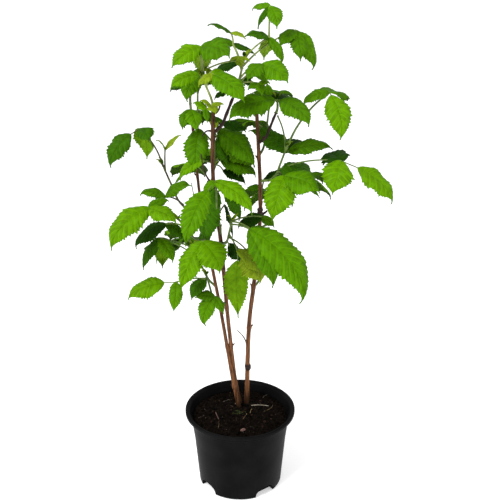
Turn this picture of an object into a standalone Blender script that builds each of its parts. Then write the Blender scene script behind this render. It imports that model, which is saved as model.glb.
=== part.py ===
"""A raspberry plant in a round black nursery pot, at its real size.

Three woody canes rise from the compost, and two of them carry a side bough. Leafy green shoots leave the
canes and the tips of the boughs. Each shoot with all its leaves is one solid. A leaf is a stalk whose end,
the hub, bears one to five leaflets, each a thin folded blade that arches over and hangs.

Units are metres and degrees. +Z is up, +X is to the right and -Y is towards the viewer. Headings turn
from +X towards +Y, and a rise is measured from the horizon. The origin is the centre of the pot's underside.
"""

import random
from typing import NamedTuple

import bmesh
import bpy
import numpy as np

# Pot
POT_HEIGHT = 0.112
RIM_RADIUS = 0.075
RIM_DROP = 0.0045
RIM_ROUNDING = 0.001
RIM_INNER_RADIUS = 0.0715
COLLAR_RADIUS = 0.0695
COLLAR_DROP = 0.012
NECK_RADIUS = 0.0665
SHOULDER_HEIGHT = 0.080
SHOULDER_RADIUS = 0.0652
STEP_HEIGHT = 0.076
WAIST_RADIUS = 0.0628
BASE_RADIUS = 0.057
BASE_ROUNDING = 0.0015
WALL = 0.0015
INSIDE_FLOOR = 0.002
TURN_STEPS = 48

# Recesses, four arches pressed into the foot of the pot, and the drain holes between them
RECESS_COUNT = 4
RECESS_FIRST_HEADING = -52.0
RECESS_HALF_WIDTH = 0.0155
RECESS_HEIGHT = 0.014
RECESS_INNER_RADIUS = 0.046
RECESS_STEPS = 8
ARCH_SQUARENESS = 0.6
DRAIN_RADIUS = 0.004
DRAIN_PLACE = 0.032
DRAIN_STEPS = 12

# Compost
GAP = 0.0003
COMPOST_TOP = 0.1035
COMPOST_EDGE_TOP = 0.0985
COMPOST_FLAT_RADIUS = 0.034

# Finishes: colour, roughness
FINISHES = {
    "black_plastic": ((0.018, 0.018, 0.020), 0.45),
    "compost": ((0.030, 0.018, 0.011), 0.95),
    "bark": ((0.170, 0.062, 0.030), 0.70),
    "leaf": ((0.100, 0.290, 0.015), 0.55),
}

# Canes and boughs
CANE_SIDES = 8
CANE_RINGS = 13
ROOT_FLARE = 0.35
ROOT_FLARE_HEIGHT = 0.006
BOUGH_SIDES = 6
BOUGH_RINGS = 5
BOUGH_TURN_SHARE = 0.2
STEEP = 45.0

# Shoots and leaf stalks
SHOOT_RADIUS = 0.0013
SHOOT_GAP = 0.0005
SHOOT_TIP_RADIUS = 0.0009
SHOOT_SIDES = 4
SHOOT_RINGS = 6
SHOOT_TURN_SHARE = 0.45
STALK_RADIUS = 0.0009
STALK_TIP_RADIUS = 0.0007
STALK_SIDES = 3
STALK_RINGS = 4
STALK_ARCH = 30.0
NECK_TIP_RADIUS = 0.0006

# Leaflets
BLADE_THICKNESS = 0.0008
BLADE_THICKNESS_SHARE = 0.011
BLADE_TIP_THICKNESS = 0.0005
BLADE_TIP_WIDTH = 0.0007
BLADE_ROOT_WIDTH = 0.0009
BLADE_STATIONS = (0.0, 0.15, 0.40, 0.70, 1.0)
BLADE_FINE_STEPS = 40
BLADE_WIDEST = 0.40
BLADE_SWELL_POWER = 0.6
BLADE_TAPER_POWER = 0.9
BLADE_WIDTH = 0.60
BLADE_FOLD = 14.0
BLADE_CURL = 42.0
CURL_SPREAD = 12.0
ROLL_SPREAD = 8.0
TURN_TO_LIGHT = 35.0
SUNK = 0.0012

# Even leaves, whose lower pairs of leaflets spread wider and are smaller
FAN_NECK = 0.18
FAN_SPREAD = 65.0
FAN_PAIR_SPREAD = 0.6
FAN_SIDE_SHARE = 0.82
FAN_PAIR_LOSS = 0.25
FAN_SIDE_DROP = 8.0

# Words used in the tables below: a limb's tip, the hub of the leaf before, and the two ways that leaves face
TIP = None
HUB = None
FRONT = -90.0
BACK = 90.0


class Cane(NamedTuple):
    """A woody cane. Its bends are (height, x, y), from the flat cut on the compost to the tip."""

    foot_radius: float
    tip_radius: float
    bends: tuple


class Bough(NamedTuple):
    """A woody side limb that leaves a cane at a height."""

    cane: str
    height: float
    heading: float
    rise: float
    length: float
    foot_radius: float
    tip_radius: float


class Blade(NamedTuple):
    """A leaflet. Its drop is how far its chord hangs below the horizon, and a neck is its own short stalk."""

    heading: float
    drop: float
    length: float
    neck: float = 0.0
    width: float = BLADE_WIDTH


class Leaf(NamedTuple):
    """A compound leaf. It leaves its shoot at a share of its length, or the hub of the leaf before it."""

    share: float
    heading: float
    rise: float
    stalk: float
    blades: tuple


class Shoot(NamedTuple):
    """A green shoot. It leaves a limb at a height, or the limb's tip, and its leaves face one heading."""

    limb: str
    height: float
    heading: float
    rise: float
    length: float
    faces: float
    leaves: tuple


def fan(heading, drop, length, count):
    """The leaflets of an even leaf: one at its end on a neck, and the rest in pairs beside it."""
    blades = [Blade(heading, drop, length, length * FAN_NECK)]
    for pair in range((count - 1) // 2):
        spread = FAN_SPREAD * (1 + FAN_PAIR_SPREAD * pair)
        share = FAN_SIDE_SHARE * (1 - FAN_PAIR_LOSS * pair)
        blades += [Blade(heading + side * spread, drop + FAN_SIDE_DROP, length * share) for side in (-1, 1)]
    return tuple(blades)


FOOT = COMPOST_TOP + GAP

CANES = {
    "cane_left": Cane(0.0027, 0.0015, (
        (FOOT, -0.0015, 0.0115), (0.150, -0.0100, 0.0125), (0.250, -0.0255, 0.0200),
        (0.390, -0.0485, 0.0290), (0.530, -0.0600, 0.0300))),
    "cane_middle": Cane(0.0027, 0.0024, (
        (FOOT, 0.0003, 0.0197), (0.150, -0.0075, 0.0195), (0.246, -0.0160, 0.0110),
        (0.360, -0.0235, -0.0050), (0.450, -0.0315, -0.0150), (0.532, -0.0300, -0.0200))),
    "cane_right": Cane(0.0033, 0.0021, (
        (FOOT, 0.0088, 0.0218), (0.226, 0.0122, 0.0200), (0.300, 0.0198, 0.0190),
        (0.400, 0.0268, 0.0145), (0.530, 0.0215, 0.0050))),
}

BOUGHS = {
    "bough_middle": Bough("cane_middle", 0.507, 20, 66, 0.050, 0.0021, 0.0016),
    "bough_right": Bough("cane_right", 0.487, -35, 66, 0.048, 0.0018, 0.0014),
}

SHOOTS = {
    "leaves_fork_tip": Shoot("bough_middle", TIP, -25, 75, 0.045, FRONT, (
        Leaf(0.45, -50, 30, 0.048, (
            Blade(-30, 25, 0.040, 0.0, 0.72), Blade(-130, 25, 0.032, 0.0, 0.7))),
        Leaf(0.80, 24, 28, 0.079, (
            Blade(-131, 26, 0.035), Blade(-79, 46, 0.043, 0.0, 0.5), Blade(-5, 64, 0.051, 0.004, 0.5))),
        Leaf(1.00, 5, 40, 0.038, (
            Blade(-145, -10, 0.036, 0.0, 0.4), Blade(105, 50, 0.040, 0.0, 0.5),
            Blade(-30, 55, 0.036, 0.0, 0.35))),
        Leaf(HUB, 85, 75, 0.036, (
            Blade(155, 10, 0.026, 0.0, 0.5), Blade(-126, 41, 0.034, 0.0, 0.22),
            Blade(-70, 42, 0.033, 0.0, 0.55))),
        Leaf(0.72, 125, 55, 0.032, (
            Blade(-170, -10, 0.030, 0.0, 0.5), Blade(30, 25, 0.036, 0.0, 0.35))),
        Leaf(HUB, 165, 80, 0.014, (
            Blade(-150, -24, 0.034, 0.0, 0.3), Blade(-40, 10, 0.024, 0.0, 0.3))),
    )),
    "leaves_middle_tip": Shoot("cane_middle", TIP, -140, 65, 0.045, FRONT, (
        Leaf(1.00, -100, 80, 0.038, (
            Blade(-150, 25, 0.044), Blade(-35, 5, 0.045, 0.0, 0.8), Blade(90, 60, 0.044, 0.0, 0.5))),
        Leaf(0.75, -70, 35, 0.036, (
            Blade(-35, 30, 0.052, 0.0, 0.65), Blade(-160, 30, 0.024))),
    )),
    "leaves_left_tip": Shoot("cane_left", TIP, -50, 60, 0.035, FRONT, (
        Leaf(1.00, -75, 25, 0.022, (
            Blade(-155, 15, 0.042), Blade(-117, 36, 0.043), Blade(135, 25, 0.060))),
        Leaf(0.10, -85, -5, 0.036, (
            Blade(-125, 45, 0.028), Blade(-75, 35, 0.034))),
    )),
    "leaves_right_tip": Shoot("bough_right", TIP, -95, 60, 0.020, FRONT, (
        Leaf(1.00, -90, 10, 0.010, (
            Blade(-161, 16, 0.065, 0.004, 0.55), Blade(-41, 24, 0.054, 0.004, 0.55),
            Blade(57, 16, 0.045, 0.0, 0.7))),
    )),
    "leaves_right": Shoot("cane_right", 0.436, -25, 70, 0.060, FRONT, (
        Leaf(1.00, -20, 55, 0.092, (
            Blade(-165, 20, 0.038, 0.0, 0.42), Blade(-63, 62, 0.056, 0.006, 0.55), Blade(65, 20, 0.056))),
        Leaf(0.95, 70, -20, 0.014, (
            Blade(-10, -10, 0.058, 0.0, 0.38), Blade(160, -25, 0.060, 0.0, 0.5), Blade(65, -5, 0.046))),
        Leaf(0.50, -25, 15, 0.086, (
            Blade(-120, 55, 0.044, 0.0, 0.9), Blade(114, 5, 0.047, 0.0, 0.75),
            Blade(-10, 41, 0.065, 0.022, 0.55))),
        Leaf(0.45, -70, 5, 0.024, (
            Blade(-120, 55, 0.060, 0.0, 0.66), Blade(-26, 15, 0.051, 0.0, 0.75), Blade(55, 0, 0.060))),
    )),
    "leaves_front_right": Shoot("cane_middle", 0.360, -65, 65, 0.055, FRONT, (
        Leaf(0.90, -35, 0, 0.028, (
            Blade(-45, 55, 0.080, 0.0, 0.45), Blade(-24, 47, 0.122, 0.0, 0.38))),
        Leaf(0.60, -60, -35, 0.026, (
            Blade(87, 86, 0.085, 0.020, 0.36), Blade(15, 50, 0.052, 0.0, 0.55))),
    )),
    "leaves_front": Shoot("cane_middle", 0.392, -90, 70, 0.075, FRONT, (
        Leaf(1.00, -105, 65, 0.010, (
            Blade(-30, 30, 0.064, 0.0, 0.42), Blade(-119, 43, 0.075, 0.018, 0.42),
            Blade(-130, 30, 0.024, 0.0, 0.5))),
    )),
    "leaves_centre": Shoot("cane_middle", 0.462, 85, 85, 0.050, FRONT, (
        Leaf(0.90, 75, -5, 0.016, (
            Blade(-15, 40, 0.066), Blade(15, 50, 0.074))),
        Leaf(0.60, 180, 50, 0.028, (
            Blade(-100, 60, 0.056),)),
        Leaf(0.10, -134, 26, 0.019, (
            Blade(-173, 34, 0.041, 0.0, 0.42),)),
    )),
    "leaves_upper_left": Shoot("cane_left", 0.390, -162, 69, 0.085, FRONT, (
        Leaf(1.00, -151, 61, 0.060, (
            Blade(-153, 51, 0.050, 0.014, 0.55), Blade(-62, 15, 0.030, 0.0, 0.8),
            Blade(75, 65, 0.050, 0.0, 0.55))),
        Leaf(0.92, -76, 80, 0.030, (
            Blade(-130, -50, 0.022, 0.0, 0.3), Blade(0, -45, 0.028, 0.0, 0.35))),
        Leaf(0.30, -128, 32, 0.038, (
            Blade(-160, -15, 0.036, 0.0, 0.5), Blade(-25, -30, 0.044, 0.0, 0.5))),
    )),
    "leaves_left": Shoot("cane_left", 0.352, -125, 50, 0.070, FRONT, (
        Leaf(1.00, -155, 30, 0.045, (
            Blade(-141, 33, 0.075, 0.0, 0.5), Blade(-35, 10, 0.047, 0.0, 0.55),
            Blade(30, -12, 0.030, 0.0, 0.5))),
        Leaf(0.80, 165, 0, 0.024, (
            Blade(-175, 35, 0.056, 0.0, 0.45), Blade(0, 40, 0.036, 0.0, 0.5))),
    )),
    "leaves_left_front": Shoot("cane_left", 0.318, -100, 55, 0.065, FRONT, (
        Leaf(1.00, -85, 35, 0.028, (
            Blade(-150, 60, 0.068, 0.0, 0.5), Blade(-40, 50, 0.046, 0.0, 0.9))),
        Leaf(0.70, 175, 20, 0.062, (
            Blade(-170, 60, 0.050, 0.0, 0.4), Blade(85, 70, 0.054, 0.0, 0.5),
            Blade(-35, 50, 0.038, 0.0, 0.5))),
    )),
    "leaves_lowest": Shoot("cane_middle", 0.268, -140, 75, 0.060, FRONT, (
        Leaf(1.00, -100, 0, 0.008, (
            Blade(-145, 45, 0.034),)),
        Leaf(HUB, -175, -5, 0.038, (
            Blade(-170, 20, 0.053, 0.016, 0.55), Blade(-100, 60, 0.040, 0.0, 0.5))),
        Leaf(0.50, -80, 20, 0.024, (
            Blade(-145, 65, 0.044, 0.0, 0.5), Blade(-175, 0, 0.026), Blade(-34, 54, 0.026, 0.0, 0.5))),
    )),
    "leaves_back_low_left": Shoot("cane_left", 0.285, 125, 45, 0.065, BACK, (
        Leaf(1.00, 115, 5, 0.032, fan(115, 25, 0.062, 5)),
        Leaf(0.70, 165, 30, 0.046, fan(150, 35, 0.046, 3)))),
    "leaves_back_low_right": Shoot("cane_right", 0.285, 65, 30, 0.050, BACK, (
        Leaf(1.00, 85, 5, 0.032, fan(90, 25, 0.066, 5)),
        Leaf(0.60, 45, 20, 0.036, fan(50, 35, 0.048, 3)))),
    "leaves_back_centre": Shoot("cane_left", 0.400, 65, 55, 0.055, BACK, (
        Leaf(1.00, 80, 20, 0.032, fan(85, 20, 0.064, 5)),
        Leaf(0.60, 145, 40, 0.032, fan(135, 30, 0.050, 3)))),
    "leaves_back_right": Shoot("cane_right", 0.370, 45, 45, 0.065, BACK, (
        Leaf(1.00, 55, 20, 0.034, fan(60, 25, 0.064, 5)),
        Leaf(0.60, 125, 30, 0.032, fan(120, 30, 0.052, 3)))),
    "leaves_back_high_right": Shoot("cane_right", 0.470, 70, 70, 0.065, BACK, (
        Leaf(1.00, 75, 20, 0.030, fan(80, 20, 0.056, 5)),
        Leaf(0.55, 130, 20, 0.026, fan(120, 25, 0.044, 3)))),
    "leaves_back_high_left": Shoot("cane_left", 0.470, 85, 80, 0.080, BACK, (
        Leaf(1.00, 65, 35, 0.024, fan(80, 15, 0.052, 3)),
        Leaf(0.45, 85, 25, 0.034, fan(90, 35, 0.046, 3)))),
}


def direction(heading, rise):
    """The unit vector that points along a heading and a rise."""
    h = np.radians(heading)
    r = np.radians(rise)
    return np.array((np.cos(h) * np.cos(r), np.sin(h) * np.cos(r), np.sin(r)))


def unit(vectors):
    """The same vectors at length one."""
    return vectors / np.linalg.norm(vectors, axis=-1, keepdims=True)


def turning_path(start, first, last, length, count, turn_share=1.0):
    """Points and directions of a path that turns from its first direction to its last.

    It turns over the first share of its length, and is straight after that.
    """
    at = np.linspace(0.0, 1.0, count)
    middles = (at[1:] + at[:-1]) / 2

    def directions(places):
        mix = np.clip(places / turn_share, 0.0, 1.0)[:, None]
        return unit(first * (1 - mix) + last * mix)

    steps = directions(middles) * np.diff(at)[:, None] * length
    points = np.vstack((start, start + np.cumsum(steps, axis=0)))
    return points, directions(at)


def carry_side(directions):
    """A side vector for each direction, carried along without twist."""
    start = directions[0]
    steep = abs(start[2]) > np.sin(np.radians(STEEP))
    reference = np.array((0.0, 1.0, 0.0)) if steep else np.array((0.0, 0.0, 1.0))
    side = unit(np.cross(reference, start))
    sides = [side]
    for ahead in directions[1:]:
        side = unit(side - ahead * np.dot(side, ahead))
        sides.append(side)
    return np.array(sides)


def loft(rings):
    """Vertices and faces of a closed body through rings with the same number of points."""
    count, around = rings.shape[:2]
    vertices = rings.reshape(-1, 3)
    faces = [tuple(reversed(range(around)))]
    for ring in range(count - 1):
        for place in range(around):
            a = ring * around + place
            b = ring * around + (place + 1) % around
            faces.append((a, b, b + around, a + around))
    faces.append(tuple(range((count - 1) * around, count * around)))
    return vertices, faces


def tube(points, directions, radii, sides):
    """A closed round rod along a path, with a radius at each point."""
    across = carry_side(directions)
    up = np.cross(directions, across)
    turns = np.arange(sides) * 2 * np.pi / sides
    circle = np.cos(turns)[None, :, None] * across[:, None, :] + np.sin(turns)[None, :, None] * up[:, None, :]
    return loft(points[:, None, :] + circle * np.asarray(radii)[:, None, None])


def half_width(at, length, width):
    """Half the width of a leaflet at a share of its length: it swells quickly, then tapers to a point."""
    swell = np.sin(np.pi / 2 * np.clip(at / BLADE_WIDEST, 0, 1)) ** BLADE_SWELL_POWER
    taper = np.cos(np.pi / 2 * np.clip((at - BLADE_WIDEST) / (1 - BLADE_WIDEST), 0, 1)) ** BLADE_TAPER_POWER
    ends = BLADE_ROOT_WIDTH * (1 - at) + BLADE_TIP_WIDTH * at
    return np.maximum(length * width / 2 * swell * taper, ends)


def blade_solid(root, blade, roll, curl):
    """A leaflet that starts at its root: a thin body, folded along the midrib, whose midrib arches over."""
    first = direction(blade.heading, -blade.drop + curl / 2)
    last = direction(blade.heading, -blade.drop - curl / 2)
    at = np.array(BLADE_STATIONS)
    start = root - first * SUNK
    fine, fine_directions = turning_path(start, first, last, blade.length + SUNK, BLADE_FINE_STEPS + 1)
    places = np.rint(at * BLADE_FINE_STEPS).astype(int)
    points, along = fine[places], fine_directions[places]
    level = direction(blade.heading + 90, 0)
    lift = np.cross(along, level[None, :])
    side = level * np.cos(np.radians(roll)) + lift * np.sin(np.radians(roll))
    lift = np.cross(along, side)
    wide = half_width(at, blade.length, blade.width)[:, None]
    fold = np.radians(BLADE_FOLD)
    left = points + side * wide * np.cos(fold) + lift * wide * np.sin(fold)
    right = points - side * wide * np.cos(fold) + lift * wide * np.sin(fold)
    full = max(BLADE_THICKNESS, BLADE_THICKNESS_SHARE * blade.length)
    half = (full + (BLADE_TIP_THICKNESS - full) * at[:, None] ** 3) / 2 * lift
    corners = (left + half, left - half, points - half, right - half, right + half, points + half)
    rings = np.stack(corners, axis=1)
    return loft(rings)


def stalk_solid(start, heading, rise, length, foot, tip):
    """An arching stalk, and where it ends. It starts steeper than its rise, and bends over."""
    first = direction(heading, rise + STALK_ARCH / 2)
    last = direction(heading, rise - STALK_ARCH / 2)
    points, along = turning_path(start, first, last, length, STALK_RINGS)
    radii = np.linspace(foot, tip, STALK_RINGS)
    return tube(points, along, radii, STALK_SIDES), points[-1]


def smooth_bends(bends, count):
    """Evenly spaced points of a smooth curve through bends, which is a cubic from each bend to the next.

    At a bend it runs along the line that joins the bends on either side.
    """
    knots = np.array([(x, y, height) for height, x, y in bends])
    ends = np.vstack((2 * knots[0] - knots[1], knots, 2 * knots[-1] - knots[-2]))
    at = np.linspace(0, len(knots) - 1, count)
    span = np.minimum(at.astype(int), len(knots) - 2)
    u = (at - span)[:, None]
    a, b, c, d = (ends[span + shift] for shift in range(4))
    return 0.5 * (2 * b + (c - a) * u + (2 * a - 5 * b + 4 * c - d) * u**2 + (3 * b - a - 3 * c + d) * u**3)


def cane_path(name):
    """Points, directions and radii of a cane, whose foot flares where it meets the compost."""
    cane = CANES[name]
    points = smooth_bends(cane.bends, CANE_RINGS)
    directions = unit(np.gradient(points, axis=0))
    directions[0] = (0, 0, 1)
    share = (points[:, 2] - FOOT) / (points[-1, 2] - FOOT)
    radii = cane.foot_radius + (cane.tip_radius - cane.foot_radius) * share
    flare = ROOT_FLARE * np.exp(-(points[:, 2] - FOOT) / ROOT_FLARE_HEIGHT)
    return points, directions, radii * (1 + flare)


def bough_path(name):
    """Points, directions and radii of a bough, which starts square to its cane and clear of it."""
    bough = BOUGHS[name]
    points, directions, radii = cane_path(bough.cane)
    centre, radius = limb_at(points, radii, bough.height)
    out = direction(bough.heading, 0)
    start = centre + out * (radius + GAP)
    last = direction(bough.heading, bough.rise)
    points, directions = turning_path(start, out, last, bough.length, BOUGH_RINGS, BOUGH_TURN_SHARE)
    return points, directions, np.linspace(bough.foot_radius, bough.tip_radius, BOUGH_RINGS)


def limb_path(name):
    """Points, directions and radii of a cane or a bough."""
    return cane_path(name) if name in CANES else bough_path(name)


def limb_at(points, radii, height):
    """The middle and the radius of a limb at a height."""
    centre = [np.interp(height, points[:, 2], points[:, axis]) for axis in range(2)]
    return np.array((*centre, height)), np.interp(height, points[:, 2], radii)


def shoot_path(name):
    """Points and directions of a shoot. It starts square to its limb or onward from its tip, clear of it."""
    shoot = SHOOTS[name]
    points, directions, radii = limb_path(shoot.limb)
    last = direction(shoot.heading, shoot.rise)
    if shoot.height is TIP:
        first = directions[-1]
        start = points[-1] + first * GAP
    else:
        centre, radius = limb_at(points, radii, shoot.height)
        first = direction(shoot.heading, 0)
        start = centre + first * (radius + SHOOT_GAP)
    return turning_path(start, first, last, shoot.length, SHOOT_RINGS, SHOOT_TURN_SHARE)


def path_at(points, share):
    """The point at a share of a path."""
    places = np.linspace(0, 1, len(points))
    return np.array([np.interp(share, places, points[:, axis]) for axis in range(3)])


def shoot_pieces(name):
    """The closed bodies of a shoot, its leaf stalks and its leaflets, with a name for each."""
    shoot = SHOOTS[name]
    chance = random.Random(name)
    points, directions = shoot_path(name)
    radii = np.linspace(SHOOT_RADIUS, SHOOT_TIP_RADIUS, SHOOT_RINGS)
    pieces = [("shoot", tube(points, directions, radii, SHOOT_SIDES))]
    hub = points[-1]
    for number, leaf in enumerate(shoot.leaves):
        start = hub if leaf.share is HUB else path_at(points, leaf.share)
        body, hub = stalk_solid(start, leaf.heading, leaf.rise, leaf.stalk, STALK_RADIUS, STALK_TIP_RADIUS)
        pieces.append((f"stalk_{number}", body))
        for place, blade in enumerate(leaf.blades):
            light = TURN_TO_LIGHT * np.sin(np.radians(blade.heading - shoot.faces))
            roll = light + chance.uniform(-ROLL_SPREAD, ROLL_SPREAD)
            curl = BLADE_CURL + chance.uniform(-CURL_SPREAD, CURL_SPREAD)
            root = hub
            if blade.neck:
                first = direction(blade.heading, -blade.drop + curl / 2)
                ends = np.array((hub - first * SUNK, hub + first * blade.neck))
                radii = (STALK_TIP_RADIUS, NECK_TIP_RADIUS)
                neck = tube(ends, np.array((first, first)), radii, STALK_SIDES)
                pieces.append((f"neck_{number}_{place}", neck))
                root = ends[-1]
            pieces.append((f"blade_{number}_{place}", blade_solid(root, blade, roll, curl)))
    return pieces


def turned_body(profile, steps):
    """Vertices and faces of a body turned about the vertical axis, where its profile starts and ends."""
    turns = np.arange(steps) * 2 * np.pi / steps
    ring = np.array([(np.cos(turn), np.sin(turn)) for turn in turns])
    vertices = [(0.0, 0.0, profile[0][1])]
    for radius, height in profile[1:-1]:
        vertices += [(radius * x, radius * y, height) for x, y in ring]
    vertices.append((0.0, 0.0, profile[-1][1]))
    last = len(vertices) - 1
    top_ring = last - steps
    faces = []
    for place in range(steps):
        after = (place + 1) % steps
        faces.append((0, 1 + after, 1 + place))
        for row in range(len(profile) - 3):
            low = 1 + row * steps
            faces.append((low + place, low + after, low + steps + after, low + steps + place))
        faces.append((last, top_ring + place, top_ring + after))
    return np.array(vertices), faces


def pot_profile():
    """The section of the pot, from the middle of its underside, up the outside and down the inside."""
    lip_middle = POT_HEIGHT - RIM_DROP / 2
    return (
        (0.0, 0.0),
        (BASE_RADIUS - BASE_ROUNDING, 0.0),
        (BASE_RADIUS, BASE_ROUNDING),
        (WAIST_RADIUS, STEP_HEIGHT),
        (SHOULDER_RADIUS, SHOULDER_HEIGHT),
        (NECK_RADIUS, POT_HEIGHT - COLLAR_DROP),
        (COLLAR_RADIUS, POT_HEIGHT - RIM_DROP),
        (RIM_RADIUS - RIM_ROUNDING, POT_HEIGHT - RIM_DROP),
        (RIM_RADIUS, POT_HEIGHT - RIM_DROP + RIM_ROUNDING),
        (RIM_RADIUS, POT_HEIGHT - RIM_ROUNDING),
        (RIM_RADIUS - RIM_ROUNDING, POT_HEIGHT),
        (RIM_INNER_RADIUS, POT_HEIGHT),
        (COLLAR_RADIUS - WALL / 2, lip_middle),
        (NECK_RADIUS - WALL, POT_HEIGHT - COLLAR_DROP),
        (SHOULDER_RADIUS - WALL, SHOULDER_HEIGHT),
        (WAIST_RADIUS - WALL, STEP_HEIGHT),
        (inner_radius(INSIDE_FLOOR), INSIDE_FLOOR),
        (0.0, INSIDE_FLOOR),
    )


def inner_radius(height):
    """The radius of the pot's inner wall at a height."""
    lip_middle = POT_HEIGHT - RIM_DROP / 2
    heights = (BASE_ROUNDING, STEP_HEIGHT, SHOULDER_HEIGHT, POT_HEIGHT - COLLAR_DROP, lip_middle)
    radii = (BASE_RADIUS, WAIST_RADIUS, SHOULDER_RADIUS, NECK_RADIUS, COLLAR_RADIUS)
    return np.interp(height, heights, radii) - WALL


def compost_profile():
    """The section of the compost: the pot's inside, kept clear of it, under a low mound."""
    low = INSIDE_FLOOR + GAP
    turning_heights = (low, STEP_HEIGHT, SHOULDER_HEIGHT, COMPOST_EDGE_TOP)
    wall = [(inner_radius(height) - GAP, height) for height in turning_heights]
    return ((0.0, low), *wall, (COMPOST_FLAT_RADIUS, COMPOST_TOP), (0.0, COMPOST_TOP))


def recess_solid(heading, extra):
    """An arch-topped block that presses a recess into the pot's foot, made larger all round by an extra."""
    out = direction(heading, 0)
    across = direction(heading + 90, 0)
    half = RECESS_HALF_WIDTH + extra
    top = RECESS_HEIGHT + extra
    turns = np.linspace(0, np.pi, RECESS_STEPS + 1)
    below = -BASE_ROUNDING
    outline = [
        (half * np.cos(turn), below + (top - below) * np.sin(turn) ** ARCH_SQUARENESS)
        for turn in turns]
    section = np.array([across * wide + np.array((0, 0, height)) for wide, height in outline])
    inner = section + out * (RECESS_INNER_RADIUS - extra)
    outer = section + out * (WAIST_RADIUS + WALL)
    return loft(np.stack((outer, inner)))


def rod(centre, radius, low, high, steps):
    """An upright round rod."""
    points = np.array(((centre[0], centre[1], low), (centre[0], centre[1], high)))
    up = np.array(((0.0, 0.0, 1.0), (0.0, 0.0, 1.0)))
    return tube(points, up, (radius, radius), steps)


def finish_of(name):
    """The material of a finish, made when it is first asked for."""
    found = bpy.data.materials.get(name)
    if found:
        return found
    colour, roughness = FINISHES[name]
    made = bpy.data.materials.new(name)
    made.use_nodes = True
    shader = made.node_tree.nodes["Principled BSDF"]
    shader.inputs["Base Color"].default_value = (*colour, 1.0)
    shader.inputs["Roughness"].default_value = roughness
    made.diffuse_color = (*colour, 1.0)
    return made


def add_object(name, body, finish):
    """An object of the scene from vertices and faces, with its faces pointing out."""
    vertices, faces = body
    mesh = bpy.data.meshes.new(name)
    mesh.from_pydata([tuple(vertex) for vertex in vertices], [], faces)
    shape = bmesh.new()
    shape.from_mesh(mesh)
    bmesh.ops.recalc_face_normals(shape, faces=shape.faces)
    shape.to_mesh(mesh)
    shape.free()
    made = bpy.data.objects.new(name, mesh)
    made.data.materials.append(finish_of(finish))
    bpy.context.scene.collection.objects.link(made)
    return made


def combine(target, others, operation):
    """Unites objects with a target, or cuts them from it, in one go, and removes them."""
    group = bpy.data.collections.new(target.name + "_tools")
    bpy.context.scene.collection.children.link(group)
    for other in others:
        bpy.context.scene.collection.objects.unlink(other)
        group.objects.link(other)
    change = target.modifiers.new("combine", "BOOLEAN")
    change.operation = operation
    change.solver = "EXACT"
    change.operand_type = "COLLECTION"
    change.collection = group
    bpy.context.view_layer.objects.active = target
    bpy.ops.object.modifier_apply(modifier=change.name)
    for other in others:
        bpy.data.objects.remove(other)
    bpy.data.collections.remove(group)


def keep_main_body(target):
    """Fills sealed hollows and drops loose scraps: only the largest closed shell stays."""
    shape = bmesh.new()
    shape.from_mesh(target.data)
    bmesh.ops.triangulate(shape, faces=shape.faces)
    waiting = set(shape.faces)
    shells = []
    while waiting:
        front = [waiting.pop()]
        shell = list(front)
        while front:
            face = front.pop()
            for edge in face.edges:
                for other in edge.link_faces:
                    if other in waiting:
                        waiting.remove(other)
                        front.append(other)
                        shell.append(other)
        shells.append(shell)
    shells.sort(key=len, reverse=True)
    spare = [face for shell in shells[1:] for face in shell]
    bmesh.ops.delete(shape, geom=spare, context="FACES")
    shape.to_mesh(target.data)
    shape.free()


def make_pot_and_compost():
    """The pot, hollow, with recesses in its foot and drain holes, and the compost that fills it."""
    headings = [RECESS_FIRST_HEADING + turn * 360 / RECESS_COUNT for turn in range(RECESS_COUNT)]

    def recesses(extra):
        return [add_object("recess", recess_solid(heading, extra), "black_plastic") for heading in headings]

    outline = pot_profile()
    floor_row = len(outline) - 2
    rim_row = outline.index((RIM_INNER_RADIUS, POT_HEIGHT))
    outside = ((0.0, 0.0), *outline[1:rim_row + 1], (0.0, POT_HEIGHT))
    over_rim = POT_HEIGHT + RIM_DROP
    inside = ((0.0, INSIDE_FLOOR), *reversed(outline[rim_row + 1:floor_row + 1]), (0.0, over_rim))
    inside = (*inside[:-1], (RIM_INNER_RADIUS, POT_HEIGHT), (RIM_INNER_RADIUS, over_rim), inside[-1])
    pot = add_object("pot", turned_body(outside, TURN_STEPS), "black_plastic")
    combine(pot, recesses(0.0), "DIFFERENCE")
    hollow = add_object("hollow", turned_body(inside, TURN_STEPS), "black_plastic")
    combine(hollow, recesses(WALL), "DIFFERENCE")
    places = [direction(heading + 180 / RECESS_COUNT, 0) * DRAIN_PLACE for heading in headings]
    drains = [rod(place, DRAIN_RADIUS, -INSIDE_FLOOR, 2 * INSIDE_FLOOR, DRAIN_STEPS) for place in places]
    combine(pot, [hollow] + [add_object("drain", body, "black_plastic") for body in drains], "DIFFERENCE")
    compost = add_object("compost", turned_body(compost_profile(), TURN_STEPS), "compost")
    combine(compost, recesses(WALL + GAP), "DIFFERENCE")


def make_limb(name):
    """A cane or a bough."""
    points, directions, radii = limb_path(name)
    sides = CANE_SIDES if name in CANES else BOUGH_SIDES
    add_object(name, tube(points, directions, radii, sides), "bark")


def make_leaves(name):
    """A shoot with its stalks and leaflets, joined into one body."""
    pieces = [add_object(label, body, "leaf") for label, body in shoot_pieces(name)]
    main = pieces[0]
    combine(main, pieces[1:], "UNION")
    main.name = name
    keep_main_body(main)


def main():
    for old in list(bpy.data.objects):
        bpy.data.objects.remove(old)
    make_pot_and_compost()
    for name in (*CANES, *BOUGHS):
        make_limb(name)
    for name in SHOOTS:
        make_leaves(name)


if __name__ == "__main__":
    main()
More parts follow.
